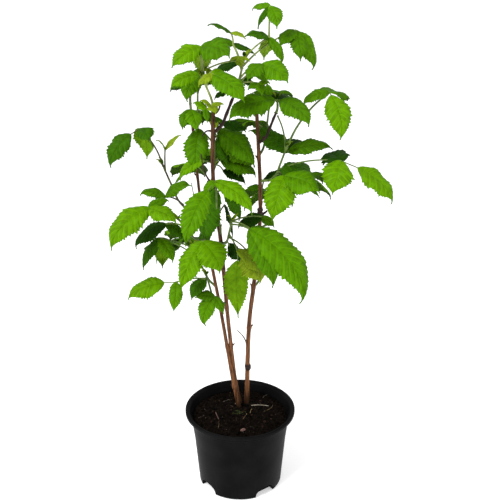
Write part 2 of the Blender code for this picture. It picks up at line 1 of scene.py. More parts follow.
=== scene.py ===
# %% [markdown]
# # A raspberry plant in its nursery pot
#
# A young raspberry plant has three woody canes, a few side boughs and many leafy green shoots. Its leaves
# are compound: each has a stalk that bears three or more toothed and pleated leaflets. The model below is
# built from the outside in: the pot, the compost, the bark, then the green shoots with their leaves.
#
# The imported solids are loaded first, as a frame of fixed size. They give every piece its place. Each plain
# solid is then replaced by a finer piece that grows by the same rule.

# %% The frame of imported solids, and the bodies that pieces hang from
import random
from typing import NamedTuple

import bmesh
import bpy
import numpy as np
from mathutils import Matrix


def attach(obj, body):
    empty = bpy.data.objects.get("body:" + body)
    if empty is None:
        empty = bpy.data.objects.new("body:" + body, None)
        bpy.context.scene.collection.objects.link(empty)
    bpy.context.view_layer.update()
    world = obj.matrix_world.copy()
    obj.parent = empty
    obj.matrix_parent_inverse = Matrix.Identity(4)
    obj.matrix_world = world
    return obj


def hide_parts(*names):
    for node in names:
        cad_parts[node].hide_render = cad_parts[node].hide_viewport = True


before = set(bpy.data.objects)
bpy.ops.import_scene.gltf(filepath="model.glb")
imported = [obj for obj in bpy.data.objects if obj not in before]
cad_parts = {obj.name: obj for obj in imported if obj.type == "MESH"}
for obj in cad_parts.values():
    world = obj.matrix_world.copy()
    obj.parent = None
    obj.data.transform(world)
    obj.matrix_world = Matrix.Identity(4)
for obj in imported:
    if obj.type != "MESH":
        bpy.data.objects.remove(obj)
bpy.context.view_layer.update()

# %% [markdown]
# ## Small tools for shapes
#
# A shape here is a grid of points worked out with numpy: one direction runs along the piece and the other
# runs round it or across it. Blender can also build shapes with its modelling operators, but a plant has
# hundreds of parts that differ only in their numbers, and whole arrays keep that quick. A pile collects many
# such grids and turns them into one mesh, because one mesh with many leaves is far lighter than many objects.

# %% Directions and paths
STEEP = 45.0


def direction(heading, rise):
    """The unit vector along a heading, turned from +X towards +Y, and a rise from the horizon, in degrees."""
    h = np.radians(heading)
    r = np.radians(rise)
    return np.array((np.cos(h) * np.cos(r), np.sin(h) * np.cos(r), np.sin(r)))


def unit(vectors):
    """The same vectors at length one."""
    return vectors / np.linalg.norm(vectors, axis=-1, keepdims=True)


def turning_path(start, first, last, length, count, turn_share=1.0):
    """A path whose direction mixes from first to last over the first share of its length.

    Each step goes along the mixed direction at its middle, and the points are the running sum of the steps.
    """
    at = np.linspace(0.0, 1.0, count)
    middles = (at[1:] + at[:-1]) / 2

    def directions(places):
        mix = np.clip(places / turn_share, 0.0, 1.0)[:, None]
        return unit(first * (1 - mix) + last * mix)

    steps = directions(middles) * np.diff(at)[:, None] * length
    points = np.vstack((start, start + np.cumsum(steps, axis=0)))
    return points, directions(at)


def curve_through(knots, count):
    """Evenly spaced points of a smooth curve through knots, which is a cubic from each knot to the next.

    At a knot it runs along the line that joins the knots on either side.
    """
    ends = np.vstack((2 * knots[0] - knots[1], knots, 2 * knots[-1] - knots[-2]))
    at = np.linspace(0, len(knots) - 1, count)
    span = np.minimum(at.astype(int), len(knots) - 2)
    u = (at - span)[:, None]
    a, b, c, d = (ends[span + shift] for shift in range(4))
    return 0.5 * (2 * b + (c - a) * u + (2 * a - 5 * b + 4 * c - d) * u**2 + (3 * b - a - 3 * c + d) * u**3)


def carry_side(directions):
    """A side vector for each direction, carried along without twist."""
    steep = abs(directions[0][2]) > np.sin(np.radians(STEEP))
    reference = np.array((0.0, 1.0, 0.0)) if steep else np.array((0.0, 0.0, 1.0))
    side = unit(np.cross(reference, directions[0]))
    sides = [side]
    for ahead in directions[1:]:
        side = unit(side - ahead * np.dot(side, ahead))
        sides.append(side)
    return np.array(sides)


level, upright = direction(0, 0), direction(0, 90)
bent, _ = turning_path(np.zeros(3), level, upright, 1.0, 50)
print("a path of 1 m that turns from level to upright ends at", np.round(bent[-1], 2))

# %% Noise worked out from whole-number cells, the same in every run
HASH_PRIMES = (374761393, 668265263, 2147483647, 1274126177)


def cell_value(cells, seed):
    """A steady number from 0 to 1 for each cell, mixed from its whole-number corner and a seed."""
    mixed = (cells * np.array(HASH_PRIMES[:3])).sum(axis=-1) + seed * HASH_PRIMES[3]
    mixed = (mixed ^ (mixed >> 13)) * HASH_PRIMES[3]
    return ((mixed ^ (mixed >> 16)) & 0xFFFF) / 0xFFFF


def noise(points, size, seed):
    """Smooth noise from -1 to 1: cell values eased between the eight corners round each point."""
    scaled = np.asarray(points) / size
    low = np.floor(scaled).astype(np.int64)
    part = scaled - low
    part = part * part * (3 - 2 * part)
    total = 0.0
    for corner in np.ndindex(2, 2, 2):
        weight = np.prod(np.where(np.array(corner) == 1, part, 1 - part), axis=-1)
        total = total + weight * cell_value(low + np.array(corner), seed)
    return 2 * total - 1


sample = noise(np.linspace(0, 50, 3000).reshape(-1, 3), 1.0, 1)
print("noise runs from", round(sample.min(), 2), "to", round(sample.max(), 2))

# %% A pile of surfaces that becomes one mesh


class Pile:
    """Collects points, four-cornered faces and three-cornered faces, with a finish for each face."""

    def __init__(self):
        self.points = []
        self.quads = []
        self.triangles = []
        self.quad_kinds = []
        self.triangle_kinds = []
        self.count = 0

    def add(self, points, quads=None, triangles=None, kind=0, quad_kinds=None):
        """Adds one surface. A kind is the place of its finish in the list that the piece is given."""
        points = np.asarray(points, float).reshape(-1, 3)
        quads = np.zeros((0, 4), int) if quads is None else np.asarray(quads).reshape(-1, 4)
        triangles = np.zeros((0, 3), int) if triangles is None else np.asarray(triangles).reshape(-1, 3)
        self.points.append(points)
        self.quads.append(quads + self.count)
        self.triangles.append(triangles + self.count)
        self.quad_kinds.append(np.full(len(quads), kind) if quad_kinds is None else quad_kinds)
        self.triangle_kinds.append(np.full(len(triangles), kind))
        self.count += len(points)

    def piece(self, name, finishes, sharp_angle=50.0):
        """One object at the origin with all the surfaces, smooth but for edges over an angle."""
        points = np.vstack(self.points)
        quads = np.vstack(self.quads)
        triangles = np.vstack(self.triangles)
        corners = np.concatenate((quads.ravel(), triangles.ravel()))
        starts = np.concatenate((np.arange(len(quads)) * 4, len(quads) * 4 + np.arange(len(triangles)) * 3))
        kinds = np.concatenate((*self.quad_kinds, *self.triangle_kinds))
        mesh = bpy.data.meshes.new(name)
        mesh.vertices.add(len(points))
        mesh.vertices.foreach_set("co", points.astype(np.float32).ravel())
        mesh.loops.add(len(corners))
        mesh.loops.foreach_set("vertex_index", corners.astype(np.int32))
        mesh.polygons.add(len(starts))
        mesh.polygons.foreach_set("loop_start", starts.astype(np.int32))
        mesh.polygons.foreach_set("material_index", kinds.astype(np.int32))
        for finish in finishes:
            mesh.materials.append(finish)
        mesh.update(calc_edges=True)
        mesh.validate()
        mesh.shade_smooth()
        mesh.set_sharp_from_angle(angle=np.radians(sharp_angle))
        made = bpy.data.objects.new(name, mesh)
        bpy.context.scene.collection.objects.link(made)
        print(f"{name}: {2 * len(quads) + len(triangles)} triangles")
        return made


trial = Pile()
trial.add([(0, 0, 0), (1, 0, 0), (1, 1, 0), (0, 1, 0)], [(0, 1, 2, 3)])
print("a pile with one square holds", trial.count, "points")

# %% Closed tubes and uneven lumps
LUMP_GRAIN = 0.7


def ring_faces(rings, around):
    """Quads between neighbouring rings of a closed tube, and fans of triangles to a point at each end.

    The two end points follow the rings' own points: the first ring's, then the last ring's.
    """
    ring = np.arange(rings - 1)[:, None] * around
    here = np.arange(around)[None, :]
    after = (here + 1) % around
    quads = np.stack((ring + here, ring + after, ring + after + around, ring + here + around), axis=-1)
    first, last = rings * around, rings * around + 1
    top = (rings - 1) * around
    here, after = here[0], after[0]
    foot_fan = np.stack((np.full(around, first), after, here), axis=-1)
    top_fan = np.stack((np.full(around, last), top + here, top + after), axis=-1)
    return quads.reshape(-1, 4), np.vstack((foot_fan, top_fan))


def tube(pile, points, radii, sides, kind=0, relief=None):
    """Adds a closed tube along points. A relief is a share of the radius for each ring and side."""
    along = unit(np.gradient(points, axis=0))
    across = carry_side(along)
    up = np.cross(along, across)
    turns = np.arange(sides) * 2 * np.pi / sides
    circle = np.cos(turns)[None, :, None] * across[:, None, :] + np.sin(turns)[None, :, None] * up[:, None, :]
    reach = np.asarray(radii)[:, None] * (1 if relief is None else relief)
    rings = points[:, None, :] + circle * np.broadcast_to(reach, (len(points), sides))[..., None]
    quads, triangles = ring_faces(len(points), sides)
    pile.add(np.vstack((rings.reshape(-1, 3), points[:1], points[-1:])), quads, triangles, kind)


def lump(pile, centre, radii, turn, seed, kind=0, rings=4, sides=6, roughness=0.25):
    """Adds a small uneven clod: a ball of a few rings, pushed in and out by noise, stretched and turned."""
    rises = np.linspace(-np.pi / 2, np.pi / 2, rings + 2)[1:-1]
    r, t = np.meshgrid(rises, np.arange(sides) * 2 * np.pi / sides, indexing="ij")
    ball = np.stack((np.cos(r) * np.cos(t), np.cos(r) * np.sin(t), np.sin(r)), axis=-1).reshape(-1, 3)
    ball = np.vstack((ball, (0, 0, -1), (0, 0, 1)))
    ball = ball * (1 + roughness * noise(ball + seed, LUMP_GRAIN, seed))[:, None] * np.asarray(radii)
    c, s = np.cos(turn), np.sin(turn)
    spun = ball @ np.array(((c, s, 0), (-s, c, 0), (0, 0, 1)))
    quads, triangles = ring_faces(rings, sides)
    pile.add(spun + centre, quads, triangles, kind)


trial_quads, trial_fans = ring_faces(10, 8)
print("a closed tube of 10 rings of 8 points has", len(trial_quads) + len(trial_fans), "faces")

# %% [markdown]
# ## Finishes
#
# Every finish is a Principled shader whose colour and bump come from noise on the object's own coordinates.
# Bark is streaked along the cane, so its pattern is stretched upward. Leaf colours are dealt out leaf by leaf
# as separate finishes. A leaf's green depends on its age, and on the light where it hangs: the deep and dark
# greens are partly painted shade on leaves in the crown's shadow, and the bright ones partly painted light.

# %% One helper makes all the patterned finishes
BUMP_STRENGTH = 0.6


def finish(name, dark, light, size, roughness, bump=0.0, stretch=(1, 1, 1), spread=(0.35, 0.65), detail=4.0,
           sheen=0.0, specular=0.5, glow=0.0):
    """A finish whose colour runs from dark to light over noise of a size in metres, with a bump in metres."""
    made = bpy.data.materials.new(name)
    made.use_nodes = True
    nodes, links = made.node_tree.nodes, made.node_tree.links
    shader = nodes["Principled BSDF"]
    shader.inputs["Roughness"].default_value = roughness
    shader.inputs["Emission Color"].default_value = (1.0, 1.0, 1.0, 1.0)
    shader.inputs["Emission Strength"].default_value = glow
    shader.inputs["Sheen Weight"].default_value = sheen
    shader.inputs["Specular IOR Level"].default_value = specular
    place = nodes.new("ShaderNodeTexCoord")
    fit = nodes.new("ShaderNodeMapping")
    fit.inputs["Scale"].default_value = stretch
    grain = nodes.new("ShaderNodeTexNoise")
    grain.inputs["Scale"].default_value = 1 / size
    grain.inputs["Detail"].default_value = detail
    ramp = nodes.new("ShaderNodeValToRGB")
    ramp.color_ramp.elements[0].position = spread[0]
    ramp.color_ramp.elements[0].color = (*dark, 1)
    ramp.color_ramp.elements[1].position = spread[1]
    ramp.color_ramp.elements[1].color = (*light, 1)
    links.new(place.outputs["Object"], fit.inputs["Vector"])
    links.new(fit.outputs["Vector"], grain.inputs["Vector"])
    links.new(grain.outputs["Fac"], ramp.inputs["Fac"])
    links.new(ramp.outputs["Color"], shader.inputs["Base Color"])
    if bump:
        raise_up = nodes.new("ShaderNodeBump")
        raise_up.inputs["Distance"].default_value = bump
        raise_up.inputs["Strength"].default_value = BUMP_STRENGTH
        links.new(grain.outputs["Fac"], raise_up.inputs["Height"])
        links.new(raise_up.outputs["Normal"], shader.inputs["Normal"])
    return made


def shade(colour, share):
    """A colour made darker or lighter by a share."""
    return tuple(min(1.0, part * share) for part in colour)


print("a green at half its brightness:", shade((0.08, 0.20, 0.02), 0.5))

# %% [markdown]
# ## The camera, the light and the floor
#
# The photograph was taken from a little above the plant, with a long lens. The rim of the pot is a circle,
# so its ellipse in the picture gives the camera's height and tilt. A wide sky light keeps the shadows soft,
# and one large lamp from the upper left gives the leaves their shape.

# %% Camera
PICTURE = 500
FOCAL_PIXELS = 948.0
SENSOR_WIDTH = 36.0
CAMERA_PLACE = (0.0136, -1.117, 0.816)
CAMERA_PITCH = 22.8

view = bpy.data.cameras.new("view")
view.sensor_width = SENSOR_WIDTH
view.lens = FOCAL_PIXELS * SENSOR_WIDTH / PICTURE
camera = bpy.data.objects.new("view", view)
camera.location = CAMERA_PLACE
camera.rotation_euler = (np.radians(90 - CAMERA_PITCH), 0, 0)
bpy.context.scene.collection.objects.link(camera)
bpy.context.scene.camera = camera
print(f"lens {view.lens:.1f} mm")

# %% Light
SKY_STRENGTH = 0.80
LAMP_AIM = (0.0, 0.0, 0.35)
# Place, size across and watts
LAMPS = {
    "key_lamp": ((-1.1, -1.3, 2.1), 0.8, 52.0),
    "fill_lamp": ((1.4, -1.0, 0.9), 1.2, 7.0),
}

world = bpy.data.worlds.new("sky")
world.use_nodes = True
world.node_tree.nodes["Background"].inputs["Color"].default_value = (1.0, 1.0, 1.0, 1.0)
world.node_tree.nodes["Background"].inputs["Strength"].default_value = SKY_STRENGTH
bpy.context.scene.world = world
for lamp_name, (lamp_place, lamp_size, lamp_watts) in LAMPS.items():
    lamp = bpy.data.lights.new(lamp_name, "AREA")
    lamp.size = lamp_size
    lamp.energy = lamp_watts
    lamp_object = bpy.data.objects.new(lamp_name, lamp)
    lamp_object.location = lamp_place
    aim = np.array(LAMP_AIM) - np.array(lamp_place)
    tilt = np.arctan2(np.hypot(aim[0], aim[1]), -aim[2])
    lamp_object.rotation_euler = (tilt, 0, np.arctan2(-aim[0], aim[1]))
    bpy.context.scene.collection.objects.link(lamp_object)
bpy.context.scene.view_settings.view_transform = "Standard"
print("lamps:", list(LAMPS))

# %% Floor
FLOOR_HALF = 30.0
FLOOR_GLOW = 0.40
FLOOR_TONES = (0.86, 0.86, 0.86), (0.90, 0.90, 0.90)

floor_pile = Pile()
floor_signs = np.array(((-1, -1, 0), (1, -1, 0), (1, 1, 0), (-1, 1, 0)))
floor_pile.add(floor_signs * FLOOR_HALF, [(0, 1, 2, 3)])
pale_floor = finish("pale_floor", *FLOOR_TONES, 2.0, 0.9, glow=FLOOR_GLOW)
floor = floor_pile.piece("floor", [pale_floor])

# %% [markdown]
# ## The pot
#
# A nursery pot is thin black plastic, moulded in one piece: a rolled rim, a collar under it, a shoulder ring
# where pots stack, a slightly tapering body, and a foot with four arched recesses that let water out. A
# turned outline gives all but the recesses. Those are cut with Booleans, which keep their edges crisp, where
# a grid bent into the arches would leave steps.

# %% Sizes of the pot
POT_HEIGHT = 0.112
RIM_RADIUS = 0.075
RIM_DROP = 0.0045
RIM_INNER_RADIUS = 0.0715
RIM_LIP = 0.0006
LIP_INSET = 0.0004
COLLAR_RADIUS = 0.0695
COLLAR_DROP = 0.012
COLLAR_STEP = 0.0015
NECK_RADIUS = 0.0665
SHOULDER_HEIGHT = 0.080
SHOULDER_RADIUS = 0.0652
STEP_HEIGHT = 0.076
STEP_EASE = 0.007
WAIST_RADIUS = 0.0628
BASE_RADIUS = 0.057
BASE_ROUNDING = 0.0015
WALL = 0.0015
INSIDE_FLOOR = 0.002
RECESS_COUNT = 4
RECESS_FIRST_HEADING = -52.0
RECESS_HALF_WIDTH = 0.0155
RECESS_HEIGHT = 0.014
RECESS_INNER_RADIUS = 0.046
ARCH_SQUARENESS = 0.6
DRAIN_RADIUS = 0.004
DRAIN_PLACE = 0.032
NOTCH_HEADING = -93.0
NOTCH_HALF_WIDTH = 0.0022
NOTCH_HEIGHT = 0.0035
OUTSIDE_ROUNDING = 0.0008
INSIDE_ROUNDING = 0.0012
OVER_RIM = 0.002
POT_SIDES = 168
ARCH_STEPS = 28
POT_SHARP_ANGLE = 35.0
print("rim", 2 * RIM_RADIUS, "m across, pot", POT_HEIGHT, "m high")

# %% The turned outline, with an arc at every corner
LARGEST_CUT = 0.45
LIP_MIDDLE = POT_HEIGHT - RIM_DROP / 2


def inner_radius(height):
    """The radius of the pot's inner wall at a height."""
    heights = (BASE_ROUNDING, STEP_HEIGHT, SHOULDER_HEIGHT, POT_HEIGHT - COLLAR_DROP, LIP_MIDDLE)
    radii = (BASE_RADIUS, WAIST_RADIUS, SHOULDER_RADIUS, NECK_RADIUS, COLLAR_RADIUS)
    return np.interp(height, heights, radii) - WALL


def rounded(corners, arc_radius, steps=4):
    """An outline whose inner corners are rounded.

    Each is a curve start (1 - u)^2 + 2 corner u (1 - u) + end u^2, from one side of the corner to the other.
    """
    corners = np.array(corners)
    out = [corners[:1]]
    for before, corner, after in zip(corners[:-2], corners[1:-1], corners[2:]):
        to_before, to_after = before - corner, after - corner
        shorter = min(np.linalg.norm(to_before), np.linalg.norm(to_after))
        cut = min(arc_radius, LARGEST_CUT * shorter)
        start = corner + unit(to_before) * cut
        end = corner + unit(to_after) * cut
        u = np.linspace(0, 1, steps)[:, None]
        out.append(start * (1 - u) ** 2 + 2 * corner * u * (1 - u) + end * u**2)
    out.append(corners[-1:])
    return np.vstack(out)


def turned(outline, sides):
    """Points and faces of a body turned about the vertical axis, from an outline that ends on it."""
    turns = np.arange(sides) * 2 * np.pi / sides
    ring = np.stack((np.cos(turns), np.sin(turns), np.zeros(sides)), axis=-1)
    inner = outline[1:-1]
    points = inner[:, 0, None, None] * ring[None] + inner[:, 1, None, None] * np.array((0, 0, 1.0))
    ends = np.array(((0, 0, outline[0, 1]), (0, 0, outline[-1, 1])))
    quads, triangles = ring_faces(len(inner), sides)
    return np.vstack((points.reshape(-1, 3), ends)), quads, triangles


outside_corners = [
    (0, 0), (BASE_RADIUS - BASE_ROUNDING, 0), (BASE_RADIUS, BASE_ROUNDING),
    (WAIST_RADIUS, STEP_HEIGHT - STEP_EASE), (SHOULDER_RADIUS, SHOULDER_HEIGHT + STEP_EASE),
    (NECK_RADIUS, POT_HEIGHT - COLLAR_DROP), (COLLAR_RADIUS, POT_HEIGHT - COLLAR_DROP + COLLAR_STEP),
    (COLLAR_RADIUS, POT_HEIGHT - RIM_DROP), (RIM_RADIUS, POT_HEIGHT - RIM_DROP), (RIM_RADIUS, POT_HEIGHT),
    (RIM_INNER_RADIUS, POT_HEIGHT), (RIM_INNER_RADIUS - LIP_INSET, POT_HEIGHT - RIM_LIP)]
inside_corners = [
    (RIM_INNER_RADIUS, POT_HEIGHT), (COLLAR_RADIUS - WALL / 2, LIP_MIDDLE),
    (NECK_RADIUS - WALL, POT_HEIGHT - COLLAR_DROP), (SHOULDER_RADIUS - WALL, SHOULDER_HEIGHT),
    (WAIST_RADIUS - WALL, STEP_HEIGHT), (inner_radius(INSIDE_FLOOR), INSIDE_FLOOR), (0, INSIDE_FLOOR)]
outside = np.vstack((rounded(outside_corners, OUTSIDE_ROUNDING), ((0, POT_HEIGHT - RIM_LIP),)))
over_rim = ((0, POT_HEIGHT + OVER_RIM), (RIM_INNER_RADIUS, POT_HEIGHT + OVER_RIM))
hollow = np.vstack((over_rim, rounded(inside_corners, INSIDE_ROUNDING)))[::-1]
print("outline points:", len(outside), "outside and", len(hollow), "inside")

# %% Tools for cutting with Booleans


def plain_object(name, points, quads, triangles=()):
    """An object with closed faces that point out, for use in a Boolean."""
    mesh = bpy.data.meshes.new(name)
    faces = [tuple(face) for face in (*quads, *triangles)]
    mesh.from_pydata([tuple(point) for point in points], [], faces)
    shape = bmesh.new()
    shape.from_mesh(mesh)
    bmesh.ops.recalc_face_normals(shape, faces=shape.faces)
    shape.to_mesh(mesh)
    shape.free()
    made = bpy.data.objects.new(name, mesh)
    bpy.context.scene.collection.objects.link(made)
    return made


def cut_away(target, cutters):
    """Cuts objects from a target in one go, and removes them."""
    group = bpy.data.collections.new("cutters")
    bpy.context.scene.collection.children.link(group)
    for cutter in cutters:
        bpy.context.scene.collection.objects.unlink(cutter)
        group.objects.link(cutter)
    change = target.modifiers.new("cut", "BOOLEAN")
    change.operation = "DIFFERENCE"
    change.solver = "EXACT"
    change.operand_type = "COLLECTION"
    change.collection = group
    bpy.context.view_layer.objects.active = target
    bpy.ops.object.modifier_apply(modifier=change.name)
    for cutter in cutters:
        bpy.data.objects.remove(cutter)
    bpy.data.collections.remove(group)


# %% The shapes that are cut away


def arch_block(heading, half, top, inner):
    """A block with an arched top that reaches from an inner radius out through the pot's wall.

    Its outline is half the width times cos(t) wide, and its height goes with sin(t) to the arch's power.
    """
    turns = np.linspace(0, np.pi, ARCH_STEPS + 1)
    wide = half * np.cos(turns)
    high = -BASE_ROUNDING + (top + BASE_ROUNDING) * np.sin(turns) ** ARCH_SQUARENESS
    section = wide[:, None] * direction(heading + 90, 0) + high[:, None] * np.array((0, 0, 1.0))
    out = direction(heading, 0)
    rings = np.stack((section + out * (WAIST_RADIUS + WALL), section + out * inner))
    quads, _ = ring_faces(2, len(section))
    ends = [tuple(range(len(section))), tuple(range(len(section), 2 * len(section)))]
    return plain_object("recess", rings.reshape(-1, 3), quads, ends)


def upright_rod(centre, radius, low, high, sides=24):
    """An upright round rod, as a cutter."""
    points, quads, triangles = turned(np.array(((0, low), (radius, low), (radius, high), (0, high))), sides)
    return plain_object("rod", points + centre, quads, triangles)


print("a recess is", 2 * RECESS_HALF_WIDTH, "m wide and", RECESS_HEIGHT, "m high")

# %% Cutting the recesses, the drain holes and a small notch
recess_headings = [RECESS_FIRST_HEADING + turn * 360 / RECESS_COUNT for turn in range(RECESS_COUNT)]


def recess_blocks(extra):
    """The four recesses, made larger all round by an extra."""
    return [arch_block(heading, RECESS_HALF_WIDTH + extra, RECESS_HEIGHT + extra, RECESS_INNER_RADIUS - extra)
            for heading in recess_headings]


nursery_pot = plain_object("nursery_pot", *turned(outside, POT_SIDES))
notch_block = arch_block(NOTCH_HEADING, NOTCH_HALF_WIDTH, NOTCH_HEIGHT, BASE_RADIUS - WALL)
cut_away(nursery_pot, recess_blocks(0.0) + [notch_block])
pot_hollow = plain_object("pot_hollow", *turned(hollow, POT_SIDES))
cut_away(pot_hollow, recess_blocks(WALL))
drain_places = [direction(heading + 180 / RECESS_COUNT, 0) * DRAIN_PLACE for heading in recess_headings]
drain_rods = [upright_rod(place, DRAIN_RADIUS, -INSIDE_FLOOR, 2 * INSIDE_FLOOR) for place in drain_places]
cut_away(nursery_pot, [pot_hollow] + drain_rods)

black_plastic = finish(
    "black_plastic", (0.0022, 0.0022, 0.0024), (0.0050, 0.0050, 0.0054), 0.030, 0.45,
    bump=0.00004, detail=9.0, specular=0.03)
nursery_pot.data.materials.append(black_plastic)
nursery_pot.data.shade_smooth()
nursery_pot.data.set_sharp_from_angle(angle=np.radians(POT_SHARP_ANGLE))
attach(nursery_pot, "root")
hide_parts("pot")
print("pot faces:", len(nursery_pot.data.polygons))

# %% [markdown]
# ## The compost
#
# Potting compost is dark, damp and crumbly, with bits of bark, straw and pale roots. Its top is a fine grid
# laid over the disc inside the pot and pushed up and down by noise of several sizes. Loose crumbs and fibres
# are scattered on it as real shapes, because a bump in the finish alone would look flat from the side.

# %% The height of the compost's top
COMPOST_TOP = 0.1035
COMPOST_EDGE_TOP = 0.0985
COMPOST_FLAT_RADIUS = 0.034
# Size across and height
CRUMB_LAYERS = ((0.011, 0.0011), (0.0050, 0.0010), (0.0024, 0.0007), (0.0012, 0.00035))
CRUMB_SEED = 11
CLEFT_DEPTH = 2.2
CLEFT_POWER = 0.8


def compost_height(x, y):
    """The compost's height at a place: a low mound, with clods of four sizes that bulge up between clefts.

    Each size adds its height times 1 - depth |noise|^power, so the ground dips most where the noise is far
    from 0.
    """
    reach = np.hypot(x, y)
    edge = inner_radius(COMPOST_EDGE_TOP)
    mound = np.interp(reach, (COMPOST_FLAT_RADIUS, edge), (COMPOST_TOP, COMPOST_EDGE_TOP))
    spots = np.stack((x, y, np.zeros_like(x)), axis=-1)
    for layer, (size, height) in enumerate(CRUMB_LAYERS):
        clefts = np.abs(noise(spots, size, CRUMB_SEED + layer)) ** CLEFT_POWER
        mound = mound + height * (1 - CLEFT_DEPTH * clefts)
    return mound


def ground_height(x, y):
    """The compost's height at one place."""
    return float(compost_height(np.array([x]), np.array([y]))[0])


print("compost at the middle:", round(ground_height(0.0, 0.0), 4), "m high")

# %% The crumbly top and the body below it
COMPOST_CELLS = 196
COMPOST_LOW = 0.018
TOP_GAP = 0.0001
LOW_GAP = 0.0003
TINY = 1e-9


def compost_body():
    """A square grid drawn over a disc, with sides and a flat bottom under it."""
    side = np.linspace(-1, 1, COMPOST_CELLS + 1)
    a, b = np.meshgrid(side, side, indexing="ij")
    reach = np.maximum(np.abs(a), np.abs(b))
    disc = np.maximum(np.hypot(a, b), TINY)
    top_radius = inner_radius(COMPOST_EDGE_TOP) - TOP_GAP
    radius = reach * top_radius
    x, y = radius * a / disc, radius * b / disc
    top = np.stack((x, y, compost_height(x, y)), axis=-1).reshape(-1, 3)
    count = COMPOST_CELLS + 1
    index = np.arange(count * count).reshape(count, count)
    faces = np.stack((index[:-1, :-1], index[1:, :-1], index[1:, 1:], index[:-1, 1:]), axis=-1).reshape(-1, 4)
    border = np.concatenate((index[:-1, 0], index[-1, :-1], index[:0:-1, -1], index[0, :0:-1]))
    low = top[border] * (inner_radius(COMPOST_LOW) - LOW_GAP) / top_radius
    low[:, 2] = COMPOST_LOW
    below = len(top) + np.arange(len(border))
    sides = np.stack((border, below, np.roll(below, -1), np.roll(border, -1)), axis=-1)
    centre = len(top) + len(border)
    fan = np.stack((np.full(len(border), centre), np.roll(below, -1), below), axis=-1)
    points = np.vstack((top, low, ((0, 0, COMPOST_LOW),)))
    return points, np.vstack((faces, sides)), fan


compost_dark = finish(
    "compost_dark", (0.0010, 0.0006, 0.0005), (0.0065, 0.0042, 0.0028), 0.003, 0.9,
    bump=0.0003, detail=8.0, specular=0.03)
compost_pile = Pile()
compost_pile.add(*compost_body())
compost_mound = compost_pile.piece("compost_mound", [compost_dark], sharp_angle=180.0)
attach(compost_mound, "root")
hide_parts("compost")

# %% Loose crumbs of compost and bark
CRUMB_COUNT = 900
CRUMB_TINTS = {
    "crumb_black": ((0.0008, 0.0006, 0.0005), (0.004, 0.003, 0.002)),
    "crumb_brown": ((0.003, 0.0018, 0.0010), (0.013, 0.008, 0.005)),
    "crumb_bark": ((0.012, 0.006, 0.004), (0.034, 0.017, 0.011)),
    "crumb_pale": ((0.080, 0.050, 0.030), (0.160, 0.110, 0.070)),
}
# Shares of the crumbs up to each tint
CRUMB_SHARES = (0.55, 0.90, 0.990, 1.0)
CRUMB_MARGIN = 0.003
CRUMB_LEAST = 0.0006
CRUMB_GROWTH = 0.0016
CRUMB_RARITY = 2.5
CRUMB_FLATTEST = (0.8, 0.6, 0.45)
CRUMB_FULLEST = (1.6, 1.1, 0.9)
CRUMB_LIFT = 0.2
CRUMB_TURN = 3
CRUMB_SHARP_ANGLE = 40.0
SCATTER_SEED = 7

crumb_finishes = [finish(name, dark, light, 0.002, 0.9, bump=0.0002, specular=0.03)
                  for name, (dark, light) in CRUMB_TINTS.items()]
crumbs = Pile()
scatter = np.random.default_rng(SCATTER_SEED)
for number in range(CRUMB_COUNT):
    reach = (inner_radius(COMPOST_EDGE_TOP) - CRUMB_MARGIN) * np.sqrt(scatter.uniform(0.0, 1.0))
    heading = scatter.uniform(0, 2 * np.pi)
    size = CRUMB_LEAST + CRUMB_GROWTH * scatter.uniform(0, 1) ** CRUMB_RARITY
    kind = int(np.searchsorted(CRUMB_SHARES, scatter.uniform(0, 1)))
    x, y = reach * np.cos(heading), reach * np.sin(heading)
    radii = size * scatter.uniform(CRUMB_FLATTEST, CRUMB_FULLEST)
    lump(crumbs, (x, y, ground_height(x, y) + CRUMB_LIFT * size), radii, heading * CRUMB_TURN, number, kind)
print(CRUMB_COUNT, "crumbs lie loose on the compost")

# %% Crumbs heaped round the feet of the canes
HEAPED_COUNT = 130
HEAP_PLACES = ((-0.0010, 0.0118), (0.0006, 0.0197), (0.0088, 0.0218))
HEAP_REACH = (0.0022, 0.0085)
HEAP_HEIGHT = 0.0024
HEAP_POWER = 1.5
HEAP_SIZES = (0.0009, 0.0019)
HEAP_SHAPE = np.array((1.2, 1.0, 0.8))
HEAP_BROWN_SHARE = 0.4

for number in range(HEAPED_COUNT):
    foot_x, foot_y = HEAP_PLACES[number % len(HEAP_PLACES)]
    away = scatter.uniform(0, 1)
    reach = HEAP_REACH[0] + (HEAP_REACH[1] - HEAP_REACH[0]) * away
    heading = scatter.uniform(0, 2 * np.pi)
    size = scatter.uniform(*HEAP_SIZES)
    x, y = foot_x + reach * np.cos(heading), foot_y + reach * np.sin(heading)
    top = ground_height(x, y) + HEAP_HEIGHT * (1 - away) ** HEAP_POWER
    kind = int(scatter.uniform(0, 1) < HEAP_BROWN_SHARE)
    lump(crumbs, (x, y, top), size * HEAP_SHAPE, heading, number, kind)
loose_crumbs = crumbs.piece("loose_crumbs", crumb_finishes, sharp_angle=CRUMB_SHARP_ANGLE)
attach(loose_crumbs, "root")

# %% [markdown]
# ### Fibres, roots and bits
#
# Pale roots, straw and a bit of bark lie on the compost, and a tuft of moss grows by the canes. The few that
# stand out in the photograph have their places in a table, and thin dark ones are scattered between them.
# Each is a thin closed tube that follows the ground, where a hair or a painted line would have no thickness.

# %% The fibres that stand out


class Fibre(NamedTuple):
    """A fibre laid on the compost: its start, heading, length, whole turn, radius, and lift at its middle."""

    x: float
    y: float
    heading: float
    length: float
    bend: float
    radius: float
    lift: float
    kind: str


